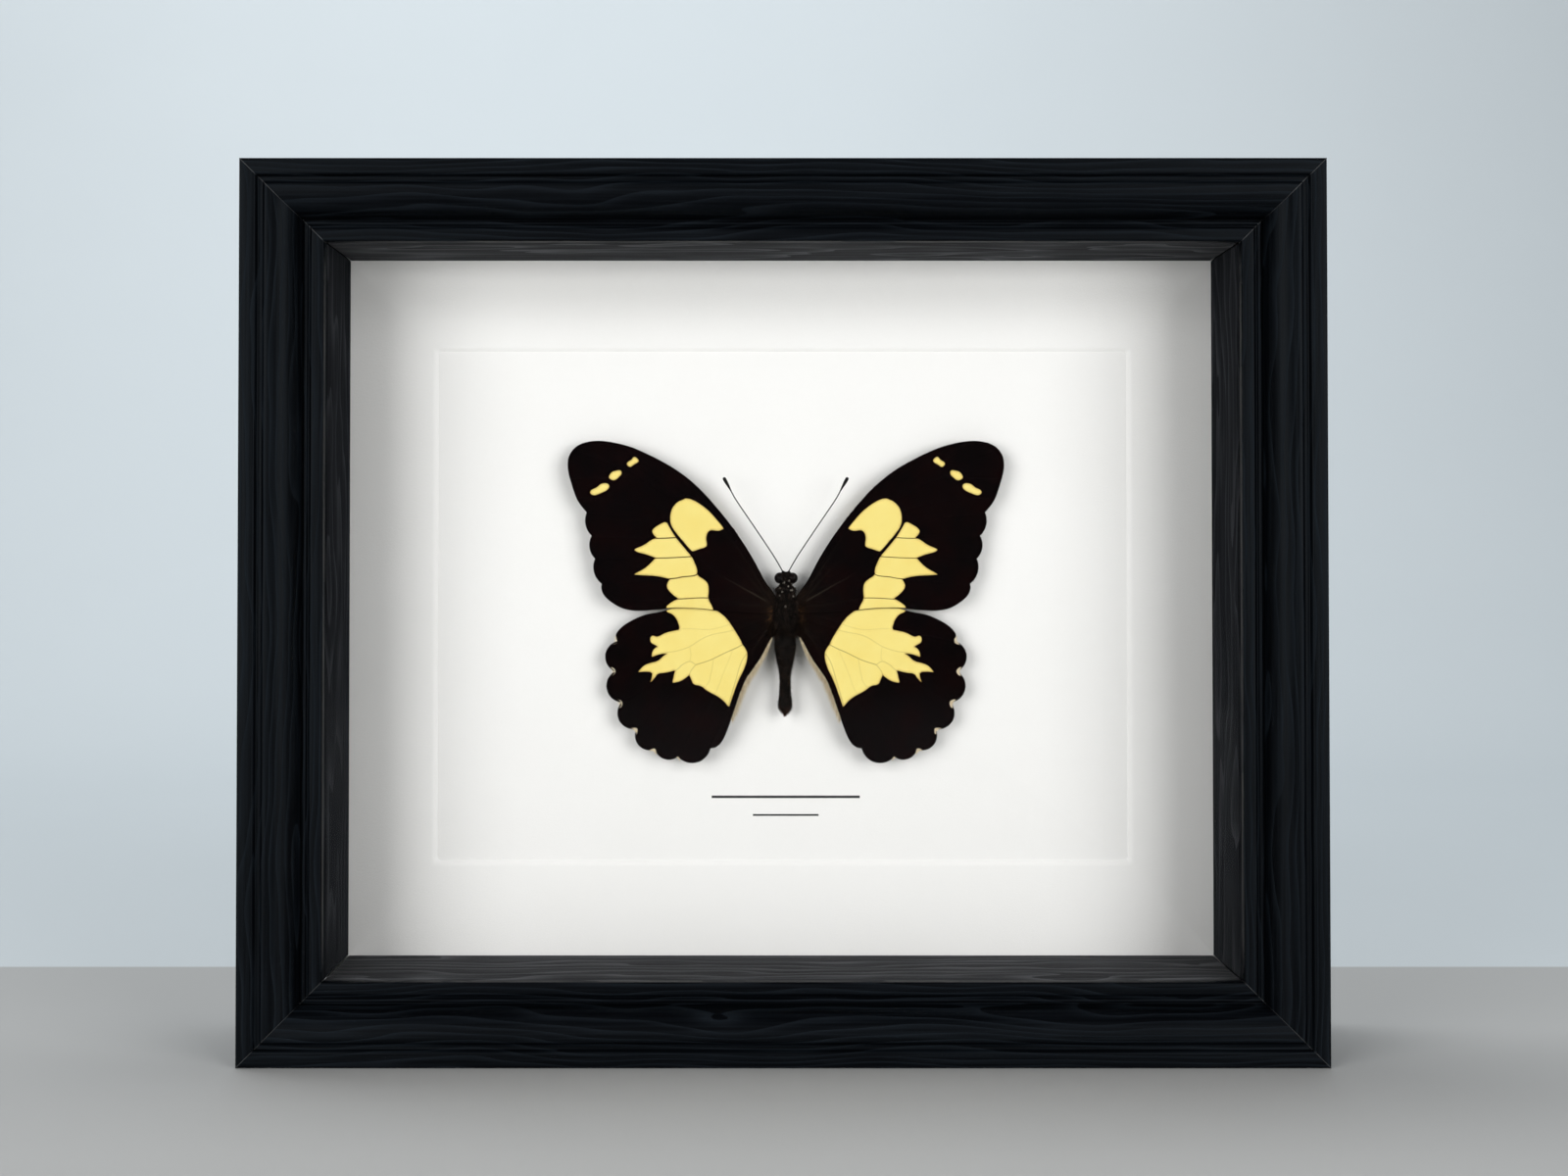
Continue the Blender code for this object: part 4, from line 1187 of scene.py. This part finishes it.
ABDOMEN = [(-6.2, 2.25, 1.95, 3.8), (-7.2, 2.45, 2.1, 3.75), (-8.6, 2.5, 2.2, 3.7),
           (-10.0, 2.4, 2.15, 3.65), (-11.4, 2.15, 1.95, 3.55), (-12.9, 1.85, 1.75, 3.45),
           (-14.3, 1.5, 1.55, 3.3), (-15.7, 1.3, 1.4, 3.2), (-17.2, 1.2, 1.3, 3.1),
           (-18.8, 1.25, 1.3, 3.0), (-20.3, 1.35, 1.35, 3.0), (-21.5, 1.5, 1.4, 3.0),
           (-22.5, 1.62, 1.5, 3.0), (-23.4, 1.5, 1.4, 3.0), (-24.1, 1.1, 1.1, 3.0),
           (-24.6, 0.7, 0.75, 3.0), (-25.1, 0.35, 0.4, 3.0), (-25.6, 0.1, 0.12, 3.0)]
# Dots of pale scales on the head and the thorax, and at (-0.2, 0.5) on the thorax's middle a painted
# highlight: across, up and size
PALE_SPECKS_AND_HIGHLIGHT = [(-0.45, 6.1, 0.22), (0.75, 6.45, 0.2), (-1.6, 4.9, 0.22), (1.3, 4.3, 0.24),
               (-1.5, 3.1, 0.18), (-0.2, 0.5, 0.2), (0.5, 5.2, 0.14), (-0.9, 3.9, 0.16), (1.7, 2.9, 0.15)]
SEGMENT_ENDS = (-9.2, -11.6, -13.8, -16.1, -18.4, -20.7, -22.6)


def body_section(stations, up):
    """Half width, half depth and lift of a body part at a height."""
    upwards = stations[::-1]
    heights = [s[0] for s in upwards]
    return [np.interp(up, heights, [s[k] for s in upwards]) for k in (1, 2, 3)]


def body_point(stations, centre_x, up, angle, swell=1.0):
    """A point on a body part's skin, at a height and an angle from its right side to the viewer's."""
    half_width, half_depth, lift = body_section(stations, up)
    outward = centre_x + half_width * np.cos(angle) * swell
    return to_world(1, outward, up, lift + half_depth * np.sin(angle) * swell)


def body_skin(name, stations, centre_x, material, node_name, rings=90, segment_ends=()):
    """A body part's slightly rough skin through its stations, pinched at each segment's end."""
    top, bottom = stations[0][0], stations[-1][0]
    loops, marks = [], []
    for i in range(rings + 1):
        up = top + (bottom - top) * i / rings
        pinch = sum(math.exp(-((up - end) / 0.16) ** 2) for end in segment_ends)
        swell = 1 - 0.075 * pinch
        ring = []
        for angle in turns(BODY_SIDES):
            rough = 1 + 0.018 * noise.noise(Vector((up * 2.2, math.cos(angle) * 3, math.sin(angle) * 3)))
            ring.append(tuple(body_point(stations, centre_x, up, angle, swell * rough)))
        loops.append(ring)
        marks += [min(1.0, pinch)] * BODY_SIDES
    built = loft(name, loops, material, angle=70)
    point_floats(built, "ring", marks)
    return place(built, [node_name] if node_name else None)


def body_hair(name, stations, centre_x, count, span, length, lean, radius, material, seed,
              angles=(0.0, 2 * math.pi), tone=(0.0, 1.0)):
    """Hairs that root in a body part's skin and lie back along it."""
    rng = np.random.default_rng(seed)
    up = rng.uniform(span[1], span[0], count)
    angle = rng.uniform(angles[0], angles[1], count)
    roots = body_point(stations, centre_x, up, angle, 0.97)
    outer = body_point(stations, centre_x, up, angle, 1.3)
    outwards = outer - roots
    outwards /= np.linalg.norm(outwards, axis=1, keepdims=True)
    size = length * rng.uniform(0.6, 1.2, count)[:, None] * MM
    wild = rng.normal(0, 0.22, (count, 3))
    direction = outwards * (1 - lean) + np.array([0, 0, -1.0]) * lean + wild
    direction /= np.linalg.norm(direction, axis=1, keepdims=True)
    tips = roots + direction * size
    clump = np.array([noise.noise(Vector(root) / CLUMP_SIZE) for root in roots])
    spread = rng.uniform(0, 1, count) ** 1.8 * np.clip(0.35 + 2.2 * clump, 0.03, 1)
    tones = tone[0] + (tone[1] - tone[0]) * spread
    return strands(name, roots, tips, radius * MM, tones, material)


def build_eye(label, side, material):
    """A compound eye: an ellipsoid that bulges from the head's side."""
    rings = []
    across, along, deep = EYE_RADII
    for i in range(1, EYE_RINGS):
        turn = math.pi * i / EYE_RINGS
        rings.append([tuple(to_world(1, HEAD_X + side * EYE_OUT + across * math.sin(turn) * math.cos(angle),
                                     EYE_UP + along * math.cos(turn),
                                     EYE_LIFT + deep * math.sin(turn) * math.sin(angle)))
                      for angle in turns(32)])
    place(loft(f"eye_{label}", rings, material, angle=80), None)


def build_palps(material):
    """The two labial palps that stand up in front of the face."""
    for label, side in (("left", -1), ("right", 1)):
        rings = []
        for i in range(11):
            t = i / 10
            radius = 0.42 * math.sin(math.pi * (0.16 + 0.8 * t)) + 0.05
            outward = HEAD_X + side * (0.75 - 0.15 * t)
            rings.append([tuple(to_world(1, outward + radius * math.cos(a), 8.0 + 0.75 * t,
                                         4.6 + 0.9 * t + radius * math.sin(a)))
                          for a in turns(14)])
        place(loft(f"palp_{label}", rings, material, angle=80), None)


ANTENNA_ROUTE = [(0.55, 8.3), (2.0, 10.9), (3.7, 13.6), (7.6, 19.4), (11.6, 25.3), (13.1, 28.0),
                 (14.6, 30.7)]


def build_antenna(label, side, material):
    """A ringed shaft that thickens into a long club."""
    route = smooth_line(ANTENNA_ROUTE, 26)
    rings = []
    count = len(route)
    for i, (outward, up) in enumerate(route):
        share = i / (count - 1)
        before, after = route[max(i - 1, 0)], route[min(i + 1, count - 1)]
        along = Vector((after[0] - before[0], after[1] - before[1])).normalized()
        club = min(1.0, max(0.0, (share - 0.78) / 0.16))
        club = club * club * (3 - 2 * club)
        end = max(0.0, (share - 0.965) / 0.035)
        radius = (SHAFT_RADIUS + CLUB_SWELL * club) * math.sqrt(max(0.04, 1 - end * end))
        radius *= 1 + 0.06 * math.sin(i * math.pi / 1.5) + (0.9 if share < 0.012 else 0.0)
        lift = 5.5 + 0.9 * share
        rings.append([tuple(to_world(side, ANTENNA_X * side + outward - along.y * radius * math.cos(a),
                                     up + along.x * radius * math.cos(a), lift + radius * math.sin(a)))
                      for a in turns(12)])
    place(loft(f"feeler_{label}", rings, material, angle=80), [f"antenna_{label}"])


def build_body():
    thorax_skin = body_material("thorax_skin", (0.0012, 0.0009, 0.0008), (0.0045, 0.0034, 0.003), 0.75)
    abdomen_skin = body_material("abdomen_skin", (0.0009, 0.0007, 0.0006), (0.0042, 0.0029, 0.0024), 0.7)
    dark_hair = hair_material("dark_hair", (0.0004, 0.0003, 0.0002), (0.085, 0.057, 0.043))
    tip_hair = hair_material("tip_hair", (0.02, 0.006, 0.003), (0.17, 0.06, 0.03))
    brown_hair = hair_material("brown_hair", (0.0040, 0.0020, 0.0012), (0.13, 0.073, 0.043))
    root_hair = hair_material("root_hair", (0.0010, 0.0006, 0.0005), (0.026, 0.014, 0.008))
    tuft_hair = hair_material("tuft_hair", (0.012, 0.005, 0.002), (0.36, 0.17, 0.07))
    pale_specks_and_highlight = hair_material("pale_specks_and_highlight", (0.10, 0.09, 0.075), (0.46, 0.42, 0.36))

    body_skin("head_capsule", HEAD, HEAD_X, thorax_skin, "head", rings=40)
    body_skin("thorax_skin", THORAX, THORAX_X, thorax_skin, "thorax", rings=80)
    body_skin("abdomen_skin", ABDOMEN, ABDOMEN_X, abdomen_skin, "abdomen", rings=150,
              segment_ends=SEGMENT_ENDS)
    eye = eye_material()
    horn = horn_material()
    for label, side in (("left", -1), ("right", 1)):
        build_eye(label, side, eye)
        build_antenna(label, side, horn)
    build_palps(thorax_skin)

    body_hair("head_hair", HEAD, HEAD_X, 1100, (8.3, 5.6), 0.7, 0.35, 0.022, dark_hair, 31)
    body_hair("collar_hair", THORAX, THORAX_X, 1500, (6.0, 3.3), 0.7, 0.45, 0.024, dark_hair, 32)
    body_hair("thorax_hair", THORAX, THORAX_X, 4600, (3.6, -6.6), 1.3, 0.6, 0.026, dark_hair, 33)
    body_hair("thorax_brown_hair", THORAX, THORAX_X, 700, (2.0, -6.6), 1.6, 0.7, 0.022, root_hair, 34)
    body_hair("abdomen_hair", ABDOMEN, ABDOMEN_X, 4200, (-6.4, -24.6), 0.75, 0.72, 0.02, dark_hair, 35)
    body_hair("abdomen_brown_hair", ABDOMEN, ABDOMEN_X, 900, (-6.4, -24.0), 0.8, 0.66, 0.018,
              brown_hair, 37)
    body_hair("abdomen_tip_hair", ABDOMEN, ABDOMEN_X, 420, (-23.0, -25.4), 0.6, 0.7, 0.02, tip_hair, 36)
    for label, side in (("left", -1), ("right", 1)):
        wing_base_hair(f"wing_base_hair_{label}", side, 330, (3.4, -6.2), (0.9, 2.6), root_hair, 41)
        wing_base_hair(f"wing_base_tuft_{label}", side, 44, (0.4, -3.2), (0.4, 1.3), tuft_hair, 42)
    # The speck at (-0.2, 0.5) on the thorax's middle is a painted highlight; the rest are pale scales.
    for number, (x, up, size) in enumerate(PALE_SPECKS_AND_HIGHLIGHT):
        build_speck(f"pale_speck_{number + 1}", x, up, size, pale_specks_and_highlight, 50 + number)


def wing_base_hair(name, side, count, span, sizes, material, seed):
    """Hairs that fan out from the thorax over the root of the wings."""
    rng = np.random.default_rng(seed)
    up = rng.uniform(span[1], span[0], count)
    size = rng.uniform(sizes[0], sizes[1], count)
    fan = np.radians(18 * (up + 1.0)) + rng.normal(0, 0.22, count)
    start = 2.5 + rng.uniform(0, 1.6, count)
    lift = FOREWING_LIFT + 0.05 + rng.uniform(0, 0.35, count)
    roots = to_world(side, start, up, lift)
    tips = to_world(side, start + size * np.cos(fan), up + size * np.sin(fan), lift - 0.05)
    strands(name, roots, tips, 0.024 * MM, rng.uniform(0, 0.8, count), material, bend=0.06)


def build_speck(name, x, up, size, material, seed):
    """A dot of pale strands on the head or the thorax: pale scales, and at the thorax's middle a painted
    highlight.
    """
    rng = np.random.default_rng(seed)
    count = 26
    spread = rng.normal(0, size * 0.5, (count, 2))
    stations = HEAD if up > 5.4 else THORAX
    at = np.clip(up + spread[:, 1], stations[-1][0], stations[0][0])
    half_width, half_depth, lift = body_section(stations, at)
    across = np.clip((x + spread[:, 0]) / half_width, -0.95, 0.95)
    height = lift + half_depth * np.sqrt(1 - across ** 2)
    roots = to_world(1, x + spread[:, 0], at, height)
    tips = to_world(1, x + spread[:, 0] * 1.3, at - 0.25, height + 0.28)
    strands(name, roots, tips, 0.04 * MM, rng.uniform(0.3, 1, count), material)


def build_specimen():
    scales = wing_material("wing_scales")
    cream = hair_material("cream_fringe", (0.50, 0.37, 0.20), (0.90, 0.82, 0.64))
    silk = hair_material("silk_fringe", (0.36, 0.25, 0.13), (0.90, 0.83, 0.64))
    dark_fringe = hair_material("dark_fringe", (0.0025, 0.0016, 0.0017), (0.010, 0.007, 0.006))
    forewing = wing_outline(FOREWING_COSTA, FOREWING_NOTCHES, FOREWING_LOBES, FOREWING_INNER)
    hindwing = wing_outline(HINDWING_COSTA, HINDWING_NOTCHES, HINDWING_LOBES, HINDWING_INNER)
    fore_patches = [CELL_PATCH, FOREWING_BAND, *APEX_SPOTS]
    for label, side in (("left", -1), ("right", 1)):
        build_wing(f"fore_wing_{label}", side, forewing, fore_patches, FOREWING_VEINS, FOREWING_PALE,
                   smooth_line(FOREWING_INNER, 6), FOREWING_LIFT, scales, f"forewing_{label}")
        build_wing(f"hind_wing_{label}", side, hindwing, [HINDWING_PATCH], HINDWING_VEINS, HINDWING_PALE,
                   None, HINDWING_LIFT, scales, f"hindwing_{label}")
        build_margin_fringe(f"fore_margin_{label}", side, forewing, FOREWING_LIFT, dark_fringe, 61)
        build_margin_fringe(f"hind_margin_{label}", side, hindwing, HINDWING_LIFT, dark_fringe, 62)
        build_notch_fringes(side, label, cream)
        build_inner_fringe(side, label, silk)
    build_body()


# ---------------------------------------------------------------- assembly

build_camera()
build_stage()
build_frame()
assign("glass_pane", glass_material())
build_card()
build_rules()
assign("backing_board", hardboard_material())
steel = steel_material()
for name in nodes_of_cad:
    if name.startswith(("backing_tab", "hanger")):
        assign(name, steel)
assign("glue_dab", glue_material())
build_specimen()

bpy.context.scene.view_settings.view_transform = "Standard"
bpy.context.scene.view_settings.look = "None"
